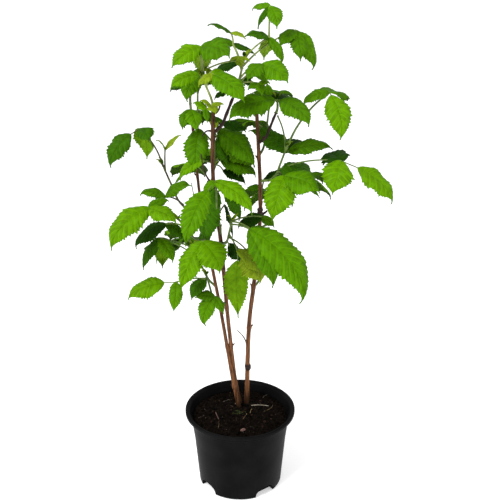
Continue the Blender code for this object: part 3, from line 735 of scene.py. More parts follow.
FIBRES = (
    Fibre(0.0136, 0.0170, 4, 0.0260, -12, 0.00060, 0.0010, "fibre_pale"),
    Fibre(0.0321, 0.0383, 100, 0.0310, -150, 0.00045, 0.0006, "fibre_root"),
    Fibre(0.0275, 0.0015, 12, 0.0280, 75, 0.00038, 0.0010, "fibre_straw"),
    Fibre(-0.0336, -0.0010, -78, 0.0210, 8, 0.00060, 0.0009, "fibre_pink"),
    Fibre(-0.0290, -0.0230, -80, 0.0160, -25, 0.00030, 0.0006, "fibre_straw"),
    Fibre(0.0164, 0.0067, -110, 0.0110, 15, 0.00060, 0.0012, "fibre_straw"),
    Fibre(0.0094, -0.0035, -102, 0.0160, -20, 0.00038, 0.0010, "fibre_straw"),
    Fibre(-0.0260, 0.0275, 20, 0.0140, 30, 0.00035, 0.0006, "fibre_root"),
    Fibre(-0.0190, 0.0340, -25, 0.0080, 50, 0.00035, 0.0008, "fibre_root"),
)
FIBRE_TINTS = {
    "fibre_pale": ((0.220, 0.180, 0.130), (0.420, 0.370, 0.290)),
    "fibre_straw": ((0.090, 0.060, 0.025), (0.210, 0.150, 0.070)),
    "fibre_root": ((0.050, 0.040, 0.028), (0.130, 0.110, 0.085)),
    "fibre_pink": ((0.070, 0.036, 0.030), (0.200, 0.115, 0.095)),
    "fibre_dark": ((0.004, 0.003, 0.002), (0.020, 0.012, 0.008)),
    "fibre_moss": ((0.012, 0.016, 0.004), (0.045, 0.060, 0.014)),
}
FIBRE_KINDS = list(FIBRE_TINTS)
print(len(FIBRES), "fibres of", len({fibre.kind for fibre in FIBRES}), "kinds stand out")

# %% Laying a fibre
FIBRE_SIDES = 6
FIBRE_STEPS = 10
FIBRE_THINNING = 0.45
FIBRE_UNEVEN = 0.2
FIBRE_WAVES = 9


def lay_fibre(pile, fibre):
    """Lays a fibre along the compost. Its heading turns evenly, and it arches up by its lift at the middle.

    Its radius falls evenly towards the tip, and swells and shrinks by a share of the sine of the way along.
    """
    share = np.linspace(0, 1, FIBRE_STEPS)
    headings = np.radians(fibre.heading + fibre.bend * share)
    step = fibre.length / (FIBRE_STEPS - 1)
    x = fibre.x + step * np.concatenate(((0,), np.cumsum(np.cos(headings[:-1]))))
    y = fibre.y + step * np.concatenate(((0,), np.cumsum(np.sin(headings[:-1]))))
    z = compost_height(x, y).mean() + fibre.radius + fibre.lift * np.sin(np.pi * share)
    radii = fibre.radius * (1 - FIBRE_THINNING * share) * (1 + FIBRE_UNEVEN * np.sin(FIBRE_WAVES * share))
    tube(pile, np.stack((x, y, z), axis=-1), radii, FIBRE_SIDES, FIBRE_KINDS.index(fibre.kind))


print("a fibre is a tube of", FIBRE_STEPS, "rings of", FIBRE_SIDES, "points")

# %% All the fibres, the moss and the bit of bark
FIBRE_COUNT = 90
FIBRE_MARGIN = 0.012
FIBRE_DARK_SHARE = 0.88
# Least and most heading, length, bend, radius and lift
FIBRE_LEAST = (0, 0.004, -120, 0.00012, 0.0)
FIBRE_MOST = (360, 0.014, 120, 0.00028, 0.0012)
MOSS_STRANDS = 26
MOSS_PLACE = (-0.001, -0.002)
MOSS_SPREAD = 0.0035
MOSS_RADIUS = 0.0003
# Least and most heading, length, bend and lift
MOSS_LEAST = (0, 0.002, -90, 0.0005)
MOSS_MOST = (360, 0.005, 90, 0.002)
BARK_BIT_PLACE = (0.0042, -0.0430)
BARK_BIT_LIFT = 0.0012
BARK_BIT_RADII = (0.0042, 0.0030, 0.0022)
BARK_BIT_TURN = 0.6
BARK_BIT_SEED = 3

fibres = Pile()
for placed in FIBRES:
    lay_fibre(fibres, placed)
for number in range(FIBRE_COUNT):
    reach = (inner_radius(COMPOST_EDGE_TOP) - FIBRE_MARGIN) * np.sqrt(scatter.uniform(0.0, 1.0))
    heading = scatter.uniform(0, 360)
    kind = "fibre_dark" if scatter.uniform(0, 1) < FIBRE_DARK_SHARE else "fibre_root"
    x, y = direction(heading, 0)[:2] * reach
    lay_fibre(fibres, Fibre(x, y, *scatter.uniform(FIBRE_LEAST, FIBRE_MOST), kind))
for number in range(MOSS_STRANDS):
    x, y = np.array(MOSS_PLACE) + scatter.normal(0, MOSS_SPREAD, 2)
    heading, length, bend, lift = scatter.uniform(MOSS_LEAST, MOSS_MOST)
    lay_fibre(fibres, Fibre(x, y, heading, length, bend, MOSS_RADIUS, lift, "fibre_moss"))
bark_bit_centre = (*BARK_BIT_PLACE, ground_height(*BARK_BIT_PLACE) + BARK_BIT_LIFT)
lump(fibres, bark_bit_centre, BARK_BIT_RADII, BARK_BIT_TURN, BARK_BIT_SEED,
     kind=FIBRE_KINDS.index("fibre_pink"), rings=6, sides=10)
fibre_finishes = [finish(name, dark, light, 0.002, 0.8, bump=0.0001, specular=0.15)
                  for name, (dark, light) in FIBRE_TINTS.items()]
compost_fibres = fibres.piece("compost_fibres", fibre_finishes)
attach(compost_fibres, "root")

# %% [markdown]
# ## Canes and boughs
#
# A raspberry cane is a slender woody stem. It tapers, leans and bends a little at each old node, and its
# thin reddish bark is streaked along its length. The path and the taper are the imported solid's. The relief is
# added to the radius of a fine tube: long shallow ridges, and a swelling with a small bud at each node. A
# bump in the finish alone would leave the outline of the cane too smooth.

# %% The limbs' sizes, the same as the solids'
GAP = 0.0003
FOOT = COMPOST_TOP + GAP
CANE_COARSE_RINGS = 13
ROOT_FLARE = 0.35
ROOT_FLARE_HEIGHT = 0.006
BOUGH_COARSE_RINGS = 5
BOUGH_TURN_SHARE = 0.2


class Cane(NamedTuple):
    """A woody cane. Its bends are (height, x, y), from the flat cut on the compost to the tip."""

    foot_radius: float
    tip_radius: float
    bends: tuple


class Bough(NamedTuple):
    """A woody side limb that leaves a cane at a height."""

    cane: str
    height: float
    heading: float
    rise: float
    length: float
    foot_radius: float
    tip_radius: float


CANES = {
    "cane_left": Cane(0.0027, 0.0015, (
        (FOOT, -0.0015, 0.0115), (0.150, -0.0100, 0.0125), (0.250, -0.0255, 0.0200),
        (0.390, -0.0485, 0.0290), (0.530, -0.0600, 0.0300))),
    "cane_middle": Cane(0.0027, 0.0024, (
        (FOOT, 0.0003, 0.0197), (0.150, -0.0075, 0.0195), (0.246, -0.0160, 0.0110),
        (0.360, -0.0235, -0.0050), (0.450, -0.0315, -0.0150), (0.532, -0.0300, -0.0200))),
    "cane_right": Cane(0.0033, 0.0021, (
        (FOOT, 0.0088, 0.0218), (0.226, 0.0122, 0.0200), (0.300, 0.0198, 0.0190),
        (0.400, 0.0268, 0.0145), (0.530, 0.0215, 0.0050))),
}

BOUGHS = {
    "bough_middle": Bough("cane_middle", 0.507, 20, 66, 0.050, 0.0021, 0.0016),
    "bough_right": Bough("cane_right", 0.487, -35, 66, 0.048, 0.0018, 0.0014),
}
print("canes and boughs:", *CANES, *BOUGHS)

# %% The paths of the canes and boughs


def cane_path(name, count=CANE_COARSE_RINGS):
    """Points, directions and radii of a cane, whose foot flares where it meets the compost."""
    cane = CANES[name]
    knots = np.array([(x, y, height) for height, x, y in cane.bends])
    points = curve_through(knots, count)
    directions = unit(np.gradient(points, axis=0))
    directions[0] = (0, 0, 1)
    share = (points[:, 2] - FOOT) / (points[-1, 2] - FOOT)
    radii = cane.foot_radius + (cane.tip_radius - cane.foot_radius) * share
    flare = ROOT_FLARE * np.exp(-(points[:, 2] - FOOT) / ROOT_FLARE_HEIGHT)
    return points, directions, radii * (1 + flare)


def limb_at(points, radii, height):
    """The middle and the radius of a limb at a height."""
    centre = [np.interp(height, points[:, 2], points[:, axis]) for axis in range(2)]
    return np.array((*centre, height)), np.interp(height, points[:, 2], radii)


def bough_path(name):
    """Points, directions and radii of a bough, which starts square to its cane and clear of it."""
    bough = BOUGHS[name]
    points, directions, radii = cane_path(bough.cane)
    centre, radius = limb_at(points, radii, bough.height)
    out = direction(bough.heading, 0)
    start = centre + out * (radius + GAP)
    last = direction(bough.heading, bough.rise)
    points, directions = turning_path(start, out, last, bough.length, BOUGH_COARSE_RINGS, BOUGH_TURN_SHARE)
    return points, directions, np.linspace(bough.foot_radius, bough.tip_radius, BOUGH_COARSE_RINGS)


def limb_path(name):
    """Points, directions and radii of a cane or a bough."""
    return cane_path(name) if name in CANES else bough_path(name)


def run_lengths(points):
    """The length along a path up to each of its points."""
    return np.concatenate(((0,), np.cumsum(np.linalg.norm(np.diff(points, axis=0), axis=1))))


for name in (*CANES, *BOUGHS):
    print(name, "is", round(run_lengths(limb_path(name)[0])[-1], 3), "m long")

# %% The bark's finish: fine streaks that darken towards the young top
BARK_STREAK = 0.0011
BARK_STREAK_STRETCH = 0.05
BARK_DARK_TOP = 0.52
BARK_TOP_SHARE = 0.36
BARK_SOILED = 0.036
BARK_SOIL_SHARE = 0.02


def bark_finish(name, dark, light):
    """Streaks along the limb, darker towards the young top and where compost clings to the foot.

    The streaks' colour is multiplied by two shares that each run evenly over a stretch of the height.
    """
    made = finish(name, dark, light, BARK_STREAK, 0.6, bump=0.0003, stretch=(1, 1, BARK_STREAK_STRETCH),
                  spread=(0.30, 0.68), detail=5.0, specular=0.12)
    nodes, links = made.node_tree.nodes, made.node_tree.links
    shader = nodes["Principled BSDF"]
    streaks = shader.inputs["Base Color"].links[0].from_socket
    place = nodes.new("ShaderNodeTexCoord")
    parts = nodes.new("ShaderNodeSeparateXYZ")
    both = nodes.new("ShaderNodeMath")
    both.operation = "MULTIPLY"
    darken = nodes.new("ShaderNodeVectorMath")
    darken.operation = "SCALE"
    links.new(place.outputs["Object"], parts.inputs["Vector"])
    ranges = (BARK_DARK_TOP, 1.0, BARK_TOP_SHARE), (COMPOST_TOP + BARK_SOILED, BARK_SOIL_SHARE, 1.0)
    for factor, (top, foot_share, top_share) in enumerate(ranges):
        share = nodes.new("ShaderNodeMapRange")
        share.inputs["From Min"].default_value = COMPOST_TOP
        share.inputs["From Max"].default_value = top
        share.inputs["To Min"].default_value = foot_share
        share.inputs["To Max"].default_value = top_share
        links.new(parts.outputs["Z"], share.inputs["Value"])
        links.new(share.outputs["Result"], both.inputs[factor])
    links.new(streaks, darken.inputs[0])
    links.new(both.outputs["Value"], darken.inputs["Scale"])
    links.new(darken.outputs["Vector"], shader.inputs["Base Color"])
    return made


bark = bark_finish("bark", (0.022, 0.007, 0.003), (0.300, 0.125, 0.050))
bark_dark = finish("bark_dark", (0.008, 0.004, 0.003), (0.040, 0.017, 0.011), 0.0012, 0.6, bump=0.0002,
                   stretch=(1, 1, 0.1), detail=5.0, specular=0.2)
dead_grey = finish("dead_grey", (0.050, 0.052, 0.040), (0.130, 0.125, 0.095), 0.0012, 0.7,
                   stretch=(1, 1, 0.1), specular=0.15)
print("bark finishes:", bark.name, bark_dark.name, dead_grey.name)

# %% Bark with its relief
BARK_SIDES = 28
NODE_SWELL = 0.30
NODE_EVEN_SHARE = 0.4
NODE_LENGTH = 0.0036
RIDGE_DEPTH = 0.05
RIDGE_SQUEEZE = 60
RIDGE_SIZES = (0.8, 0.33)
BUD_LENGTH = 0.0048
BUD_RADIUS = 0.0011
BUD_RISE = 25
BUD_SUNK = 0.7
BUD_OUT = (0.35, 0.6)
BUD_UP = 0.45
BUD_SHAPE = (1, 1.1, 1.1, 0.95, 0.75, 0.5, 0.2)
BUD_SIDES = 8


def add_bud(pile, centre, radius, heading):
    """Adds a small dark bud along a curve that leaves the bark outward and then turns up."""
    out = direction(heading, BUD_RISE)
    knots = np.array((
        centre + out * radius * BUD_SUNK,
        centre + out * (radius + BUD_LENGTH * BUD_OUT[0]),
        centre + out * (radius + BUD_LENGTH * BUD_OUT[1]) + np.array((0, 0, BUD_LENGTH * BUD_UP))))
    tube(pile, curve_through(knots, len(BUD_SHAPE)), BUD_RADIUS * np.array(BUD_SHAPE), BUD_SIDES, 1)


def bark_surface(pile, points, radii, nodes, seed, sink):
    """A limb's bark: its radius grows at each node and rises and falls in long ridges worked from noise.

    The noise is read on a cylinder that is squeezed along its axis, so that its ridges run with the limb.
    A node is a distance along the limb and a heading, and a dark bud marks it.
    """
    lengths = run_lengths(points) - sink
    turns = np.arange(BARK_SIDES) * 2 * np.pi / BARK_SIDES
    squeezed = lengths[:, None] * RIDGE_SQUEEZE
    around = np.stack(np.broadcast_arrays(np.cos(turns)[None], np.sin(turns)[None], squeezed), axis=-1)
    broad, fine = (noise(around, size, seed + layer) for layer, size in enumerate(RIDGE_SIZES))
    relief = 1 + RIDGE_DEPTH * broad + 0.5 * RIDGE_DEPTH * fine
    for place, heading in nodes:
        side = np.clip(np.cos(turns - np.radians(heading)), 0, 1)[None]
        near = np.exp(-((lengths - place) / NODE_LENGTH) ** 2)[:, None]
        relief = relief + NODE_SWELL * near * (NODE_EVEN_SHARE + (1 - NODE_EVEN_SHARE) * side)
        centre = np.array([np.interp(place, lengths, points[:, axis]) for axis in range(3)])
        add_bud(pile, centre, np.interp(place, lengths, radii), heading)
    tube(pile, points, radii, BARK_SIDES, 0, relief)


print("a node swells a limb by", NODE_SWELL, "of its radius, and its bud is", BUD_LENGTH, "m long")

# %% The bark of each cane and bough
BARK_STEP = 0.0012
FOOT_SINK = 0.008
FOOT_SINK_RINGS = 6
BOUGH_SINK = 0.0012
NODE_SPACING = 0.0605
BOUGH_NODE_SPACING = NODE_SPACING / 4
NODE_TURN = 137.5
NODE_TIP_MARGIN = 0.006
BARK_SEED = 20
BARK_SEED_STEP = 5
# The first node's distance along the limb, and its heading
FIRST_NODES = {
    "cane_left": (0.035, 200), "cane_middle": (0.097, 0), "cane_right": (0.061, 232),
    "bough_middle": (0.012, 150), "bough_right": (0.010, 160)}


def bark_limb(name, seed):
    """The bark piece of one cane or bough. Its foot is carried on into the compost or into its cane."""
    points, directions, radii = limb_path(name)
    first, heading = FIRST_NODES[name]
    if name in CANES:
        sink, spacing = FOOT_SINK, NODE_SPACING
        count = int((points[-1, 2] - FOOT) / BARK_STEP)
        points, directions, radii = cane_path(name, count)
        below = points[:1] - np.array((0, 0, 1.0)) * np.linspace(sink, 0, FOOT_SINK_RINGS)[:-1, None]
        points = np.vstack((below, points))
        radii = np.concatenate((np.full(len(below), radii[0]), radii))
    else:
        sink, spacing = BOUGH_SINK, BOUGH_NODE_SPACING
        points = np.vstack((points[:1] - directions[:1] * sink, points))
        count = int(run_lengths(points)[-1] / (BARK_STEP / 2))
        radii = np.linspace(radii[0], radii[-1], count)
        points = curve_through(points, count)
    length = run_lengths(points)[-1] - sink
    places = np.arange(first, length - NODE_TIP_MARGIN, spacing)
    nodes = [(place, heading + number * NODE_TURN) for number, place in enumerate(places)]
    pile = Pile()
    bark_surface(pile, points, radii, nodes, seed, sink)
    limb = pile.piece("bark_" + name, [bark, bark_dark] if name in CANES else [bark_dark, bark_dark])
    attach(limb, "root")
    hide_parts(name)


for number, name in enumerate((*CANES, *BOUGHS)):
    bark_limb(name, BARK_SEED + BARK_SEED_STEP * number)

# %% [markdown]
# ### Dead twigs and knots
#
# Where side shoots died back, a cane keeps grey twigs, short stubs and dark rough knots. A twig is a thin
# tube that starts inside its cane, so that no gap shows at its foot, and a knot is an uneven lump half sunk
# in it.

# %% The twigs, stubs and knots that show


class Twig(NamedTuple):
    """A dead twig or stub. It leaves a limb at a height with its first rise, and turns to its last one."""

    limb: str
    height: float
    heading: float
    first_rise: float
    rise: float
    length: float
    radius: float
    kind: int


class Knot(NamedTuple):
    """A dark swollen knot on a cane, where old shoots were shed: its height, its heading and its radius."""

    limb: str
    height: float
    heading: float
    radius: float


TWIGS = (
    Twig("cane_right", 0.190, 178, 97, 48, 0.034, 0.00100, 1),
    Twig("cane_middle", 0.440, -128, 40, 80, 0.050, 0.00110, 0),
    Twig("cane_middle", 0.441, -160, 0, 50, 0.008, 0.0020, 0),
    Twig("cane_middle", 0.437, 10, 0, 40, 0.007, 0.0018, 0),
    Twig("cane_middle", 0.432, -75, 0, 45, 0.006, 0.0021, 0),
    Twig("cane_middle", 0.508, -175, 25, -60, 0.014, 0.0011, 0),
    Twig("cane_middle", 0.530, 10, 20, 75, 0.012, 0.0014, 0),
    Twig("cane_left", 0.389, -160, 60, 82, 0.042, 0.00075, 1),
    Twig("cane_right", 0.396, -70, 0, 40, 0.007, 0.0020, 0),
    Twig("cane_right", 0.390, 5, 0, 50, 0.009, 0.0018, 0),
    Twig("cane_right", 0.388, 150, 0, 30, 0.006, 0.0018, 0),
)
KNOTS = (
    Knot("cane_middle", 0.436, -110, 0.0044),
    Knot("cane_middle", 0.430, -30, 0.0034),
    Knot("cane_right", 0.394, -95, 0.0046),
    Knot("cane_right", 0.387, -15, 0.0038),
    Knot("cane_right", 0.165, -60, 0.0040),
)
print(len(TWIGS), "twigs and stubs,", len(KNOTS), "knots")

# %% Making the twigs and knots
SUNK_SHARE = 0.6
TWIG_TURN_SHARE = 0.8
TWIG_STEPS = 16
TWIG_SIDES = 8
TWIG_FOOT_SHARE = 1.25
TWIG_TAPER = 0.6
TWIG_RELIEF = 0.12
TWIG_WAVES = 9
TWIG_SEED = 5
KNOT_SHAPE = np.array((0.9, 0.9, 1.25))
KNOT_ROUGHNESS = 0.35
KNOT_SEED = 40


def add_twig(pile, twig):
    """Adds one twig, whose foot is sunk in its limb and whose tip is blunt."""
    points, directions, radii = limb_path(twig.limb)
    centre, radius = limb_at(points, radii, twig.height)
    out = direction(twig.heading, 0)
    start = centre + out * radius * SUNK_SHARE
    first, last = (direction(twig.heading, rise) for rise in (twig.first_rise, twig.rise))
    path, _ = turning_path(start, first, last, twig.length, TWIG_STEPS, TWIG_TURN_SHARE)
    share = np.linspace(0, 1, TWIG_STEPS)
    relief = 1 + TWIG_RELIEF * noise(share[:, None] * np.array((TWIG_WAVES, 0, 0)), 1.0, TWIG_SEED)
    radii = twig.radius * (TWIG_FOOT_SHARE - TWIG_TAPER * share) * relief
    tube(pile, path, radii, TWIG_SIDES, twig.kind)


def add_knot(pile, knot, seed):
    """Adds one knot: a rough upright lump, half sunk in its cane."""
    points, _, radii = limb_path(knot.limb)
    centre, radius = limb_at(points, radii, knot.height)
    centre = centre + direction(knot.heading, 0) * radius * SUNK_SHARE
    lump(pile, centre, knot.radius * KNOT_SHAPE, knot.heading, seed, rings=7, sides=10,
         roughness=KNOT_ROUGHNESS)


twigs = Pile()
for twig in TWIGS:
    add_twig(twigs, twig)
for number, knot in enumerate(KNOTS):
    add_knot(twigs, knot, KNOT_SEED + number)
dead_twigs = twigs.piece("dead_twigs", [bark_dark, dead_grey])
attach(dead_twigs, "root")

# %% [markdown]
# ## Leaves
#
# A raspberry leaflet is an oval that draws out to a point, with a doubly toothed edge. Straight side veins
# run from the midrib to the teeth, and the blade bulges up between them like a quilt. It could be a flat card
# with a picture on it, but the teeth, the folds and the pale underside show from all sides here, so each
# leaflet is a thin closed body. Its grid follows the veins: every row starts at the midrib and slants forward
# to the edge.
#
# Where a leaf hangs is set by a table, the same as the solids': a shoot leaves a limb, a leaf leaves a shoot
# or the hub of the leaf before it, and leaflets leave the leaf's hub.

# %% The words of the table
# A limb's tip, the hub of the leaf before, and the two headings that leaves face
TIP = None
HUB = None
FRONT = -90.0
BACK = 90.0
BLADE_WIDTH = 0.60
FAN_NECK = 0.18
FAN_SPREAD = 65.0
FAN_PAIR_SPREAD = 0.6
FAN_SIDE_SHARE = 0.82
FAN_PAIR_LOSS = 0.25
FAN_SIDE_DROP = 8.0


class Blade(NamedTuple):
    """A leaflet. Its drop is how far its chord hangs below the horizon, and a neck is its own short stalk."""

    heading: float
    drop: float
    length: float
    neck: float = 0.0
    width: float = BLADE_WIDTH


class Leaf(NamedTuple):
    """A compound leaf. It leaves its shoot at a share of its length, or the hub of the leaf before it."""

    share: float
    heading: float
    rise: float
    stalk: float
    blades: tuple


class Shoot(NamedTuple):
    """A green shoot. It leaves a limb at a height, or the limb's tip, and its leaves face one heading."""

    limb: str
    height: float
    heading: float
    rise: float
    length: float
    faces: float
    leaves: tuple


def fan(heading, drop, length, count):
    """The leaflets of an even leaf: one at its end on a neck, and the rest in pairs beside it."""
    blades = [Blade(heading, drop, length, length * FAN_NECK)]
    for pair in range((count - 1) // 2):
        spread = FAN_SPREAD * (1 + FAN_PAIR_SPREAD * pair)
        share = FAN_SIDE_SHARE * (1 - FAN_PAIR_LOSS * pair)
        blades += [Blade(heading + side * spread, drop + FAN_SIDE_DROP, length * share) for side in (-1, 1)]
    return tuple(blades)


print("an even leaf of five spreads over", np.ptp([blade.heading for blade in fan(0, 0, 1.0, 5)]), "degrees")

# %% The table of shoots and leaves
SHOOTS = {
    "leaves_fork_tip": Shoot("bough_middle", TIP, -25, 75, 0.045, FRONT, (
        Leaf(0.45, -50, 30, 0.048, (
            Blade(-30, 25, 0.040, 0.0, 0.72), Blade(-130, 25, 0.032, 0.0, 0.7))),
        Leaf(0.80, 24, 28, 0.079, (
            Blade(-131, 26, 0.035), Blade(-79, 46, 0.043, 0.0, 0.5), Blade(-5, 64, 0.051, 0.004, 0.5))),
        Leaf(1.00, 5, 40, 0.038, (
            Blade(-145, -10, 0.036, 0.0, 0.4), Blade(105, 50, 0.040, 0.0, 0.5),
            Blade(-30, 55, 0.036, 0.0, 0.35))),
        Leaf(HUB, 85, 75, 0.036, (
            Blade(155, 10, 0.026, 0.0, 0.5), Blade(-126, 41, 0.034, 0.0, 0.22),
            Blade(-70, 42, 0.033, 0.0, 0.55))),
        Leaf(0.72, 125, 55, 0.032, (
            Blade(-170, -10, 0.030, 0.0, 0.5), Blade(30, 25, 0.036, 0.0, 0.35))),
        Leaf(HUB, 165, 80, 0.014, (
            Blade(-150, -24, 0.034, 0.0, 0.3), Blade(-40, 10, 0.024, 0.0, 0.3))),
    )),
    "leaves_middle_tip": Shoot("cane_middle", TIP, -140, 65, 0.045, FRONT, (
        Leaf(1.00, -100, 80, 0.038, (
            Blade(-150, 25, 0.044), Blade(-35, 5, 0.045, 0.0, 0.8), Blade(90, 60, 0.044, 0.0, 0.5))),
        Leaf(0.75, -70, 35, 0.036, (
            Blade(-35, 30, 0.052, 0.0, 0.65), Blade(-160, 30, 0.024))),
    )),
    "leaves_left_tip": Shoot("cane_left", TIP, -50, 60, 0.035, FRONT, (
        Leaf(1.00, -75, 25, 0.022, (
            Blade(-155, 15, 0.042), Blade(-117, 36, 0.043), Blade(135, 25, 0.060))),
        Leaf(0.10, -85, -5, 0.036, (
            Blade(-125, 45, 0.028), Blade(-75, 35, 0.034))),
    )),
    "leaves_right_tip": Shoot("bough_right", TIP, -95, 60, 0.020, FRONT, (
        Leaf(1.00, -90, 10, 0.010, (
            Blade(-161, 16, 0.065, 0.004, 0.55), Blade(-41, 24, 0.054, 0.004, 0.55),
            Blade(57, 16, 0.045, 0.0, 0.7))),
    )),
    "leaves_right": Shoot("cane_right", 0.436, -25, 70, 0.060, FRONT, (
        Leaf(1.00, -20, 55, 0.092, (
            Blade(-165, 20, 0.038, 0.0, 0.42), Blade(-63, 62, 0.056, 0.006, 0.55), Blade(65, 20, 0.056))),
        Leaf(0.95, 70, -20, 0.014, (
            Blade(-10, -10, 0.058, 0.0, 0.38), Blade(160, -25, 0.060, 0.0, 0.5), Blade(65, -5, 0.046))),
        Leaf(0.50, -25, 15, 0.086, (
            Blade(-120, 55, 0.044, 0.0, 0.9), Blade(114, 5, 0.047, 0.0, 0.75),
            Blade(-10, 41, 0.065, 0.022, 0.55))),
        Leaf(0.45, -70, 5, 0.024, (
            Blade(-120, 55, 0.060, 0.0, 0.66), Blade(-26, 15, 0.051, 0.0, 0.75), Blade(55, 0, 0.060))),
    )),
    "leaves_front_right": Shoot("cane_middle", 0.360, -65, 65, 0.055, FRONT, (
        Leaf(0.90, -35, 0, 0.028, (
            Blade(-45, 55, 0.080, 0.0, 0.45), Blade(-24, 47, 0.122, 0.0, 0.38))),
        Leaf(0.60, -60, -35, 0.026, (
            Blade(87, 86, 0.085, 0.020, 0.36), Blade(15, 50, 0.052, 0.0, 0.55))),
    )),
    "leaves_front": Shoot("cane_middle", 0.392, -90, 70, 0.075, FRONT, (
        Leaf(1.00, -105, 65, 0.010, (
            Blade(-30, 30, 0.064, 0.0, 0.42), Blade(-119, 43, 0.075, 0.018, 0.42),
            Blade(-130, 30, 0.024, 0.0, 0.5))),
    )),
    "leaves_centre": Shoot("cane_middle", 0.462, 85, 85, 0.050, FRONT, (
        Leaf(0.90, 75, -5, 0.016, (
            Blade(-15, 40, 0.066), Blade(15, 50, 0.074))),
        Leaf(0.60, 180, 50, 0.028, (
            Blade(-100, 60, 0.056),)),
        Leaf(0.10, -134, 26, 0.019, (
            Blade(-173, 34, 0.041, 0.0, 0.42),)),
    )),
    "leaves_upper_left": Shoot("cane_left", 0.390, -162, 69, 0.085, FRONT, (
        Leaf(1.00, -151, 61, 0.060, (
            Blade(-153, 51, 0.050, 0.014, 0.55), Blade(-62, 15, 0.030, 0.0, 0.8),
            Blade(75, 65, 0.050, 0.0, 0.55))),
        Leaf(0.92, -76, 80, 0.030, (
            Blade(-130, -50, 0.022, 0.0, 0.3), Blade(0, -45, 0.028, 0.0, 0.35))),
        Leaf(0.30, -128, 32, 0.038, (
            Blade(-160, -15, 0.036, 0.0, 0.5), Blade(-25, -30, 0.044, 0.0, 0.5))),
    )),
    "leaves_left": Shoot("cane_left", 0.352, -125, 50, 0.070, FRONT, (
        Leaf(1.00, -155, 30, 0.045, (
            Blade(-141, 33, 0.075, 0.0, 0.5), Blade(-35, 10, 0.047, 0.0, 0.55),
            Blade(30, -12, 0.030, 0.0, 0.5))),
        Leaf(0.80, 165, 0, 0.024, (
            Blade(-175, 35, 0.056, 0.0, 0.45), Blade(0, 40, 0.036, 0.0, 0.5))),
    )),
    "leaves_left_front": Shoot("cane_left", 0.318, -100, 55, 0.065, FRONT, (
        Leaf(1.00, -85, 35, 0.028, (
            Blade(-150, 60, 0.068, 0.0, 0.5), Blade(-40, 50, 0.046, 0.0, 0.9))),
        Leaf(0.70, 175, 20, 0.062, (
            Blade(-170, 60, 0.050, 0.0, 0.4), Blade(85, 70, 0.054, 0.0, 0.5),
            Blade(-35, 50, 0.038, 0.0, 0.5))),
    )),
    "leaves_lowest": Shoot("cane_middle", 0.268, -140, 75, 0.060, FRONT, (
        Leaf(1.00, -100, 0, 0.008, (
            Blade(-145, 45, 0.034),)),
        Leaf(HUB, -175, -5, 0.038, (
            Blade(-170, 20, 0.053, 0.016, 0.55), Blade(-100, 60, 0.040, 0.0, 0.5))),
        Leaf(0.50, -80, 20, 0.024, (
            Blade(-145, 65, 0.044, 0.0, 0.5), Blade(-175, 0, 0.026), Blade(-34, 54, 0.026, 0.0, 0.5))),
    )),
    "leaves_back_low_left": Shoot("cane_left", 0.285, 125, 45, 0.065, BACK, (
        Leaf(1.00, 115, 5, 0.032, fan(115, 25, 0.062, 5)),
        Leaf(0.70, 165, 30, 0.046, fan(150, 35, 0.046, 3)))),
    "leaves_back_low_right": Shoot("cane_right", 0.285, 65, 30, 0.050, BACK, (
        Leaf(1.00, 85, 5, 0.032, fan(90, 25, 0.066, 5)),
        Leaf(0.60, 45, 20, 0.036, fan(50, 35, 0.048, 3)))),
    "leaves_back_centre": Shoot("cane_left", 0.400, 65, 55, 0.055, BACK, (
        Leaf(1.00, 80, 20, 0.032, fan(85, 20, 0.064, 5)),
        Leaf(0.60, 145, 40, 0.032, fan(135, 30, 0.050, 3)))),
    "leaves_back_right": Shoot("cane_right", 0.370, 45, 45, 0.065, BACK, (
        Leaf(1.00, 55, 20, 0.034, fan(60, 25, 0.064, 5)),
        Leaf(0.60, 125, 30, 0.032, fan(120, 30, 0.052, 3)))),
    "leaves_back_high_right": Shoot("cane_right", 0.470, 70, 70, 0.065, BACK, (
        Leaf(1.00, 75, 20, 0.030, fan(80, 20, 0.056, 5)),
        Leaf(0.55, 130, 20, 0.026, fan(120, 25, 0.044, 3)))),
    "leaves_back_high_left": Shoot("cane_left", 0.470, 85, 80, 0.080, BACK, (
        Leaf(1.00, 65, 35, 0.024, fan(80, 15, 0.052, 3)),
        Leaf(0.45, 85, 25, 0.034, fan(90, 35, 0.046, 3)))),
}
leaflet_count = sum(len(leaf.blades) for shoot in SHOOTS.values() for leaf in shoot.leaves)
print(len(SHOOTS), "shoots with", leaflet_count, "leaflets")
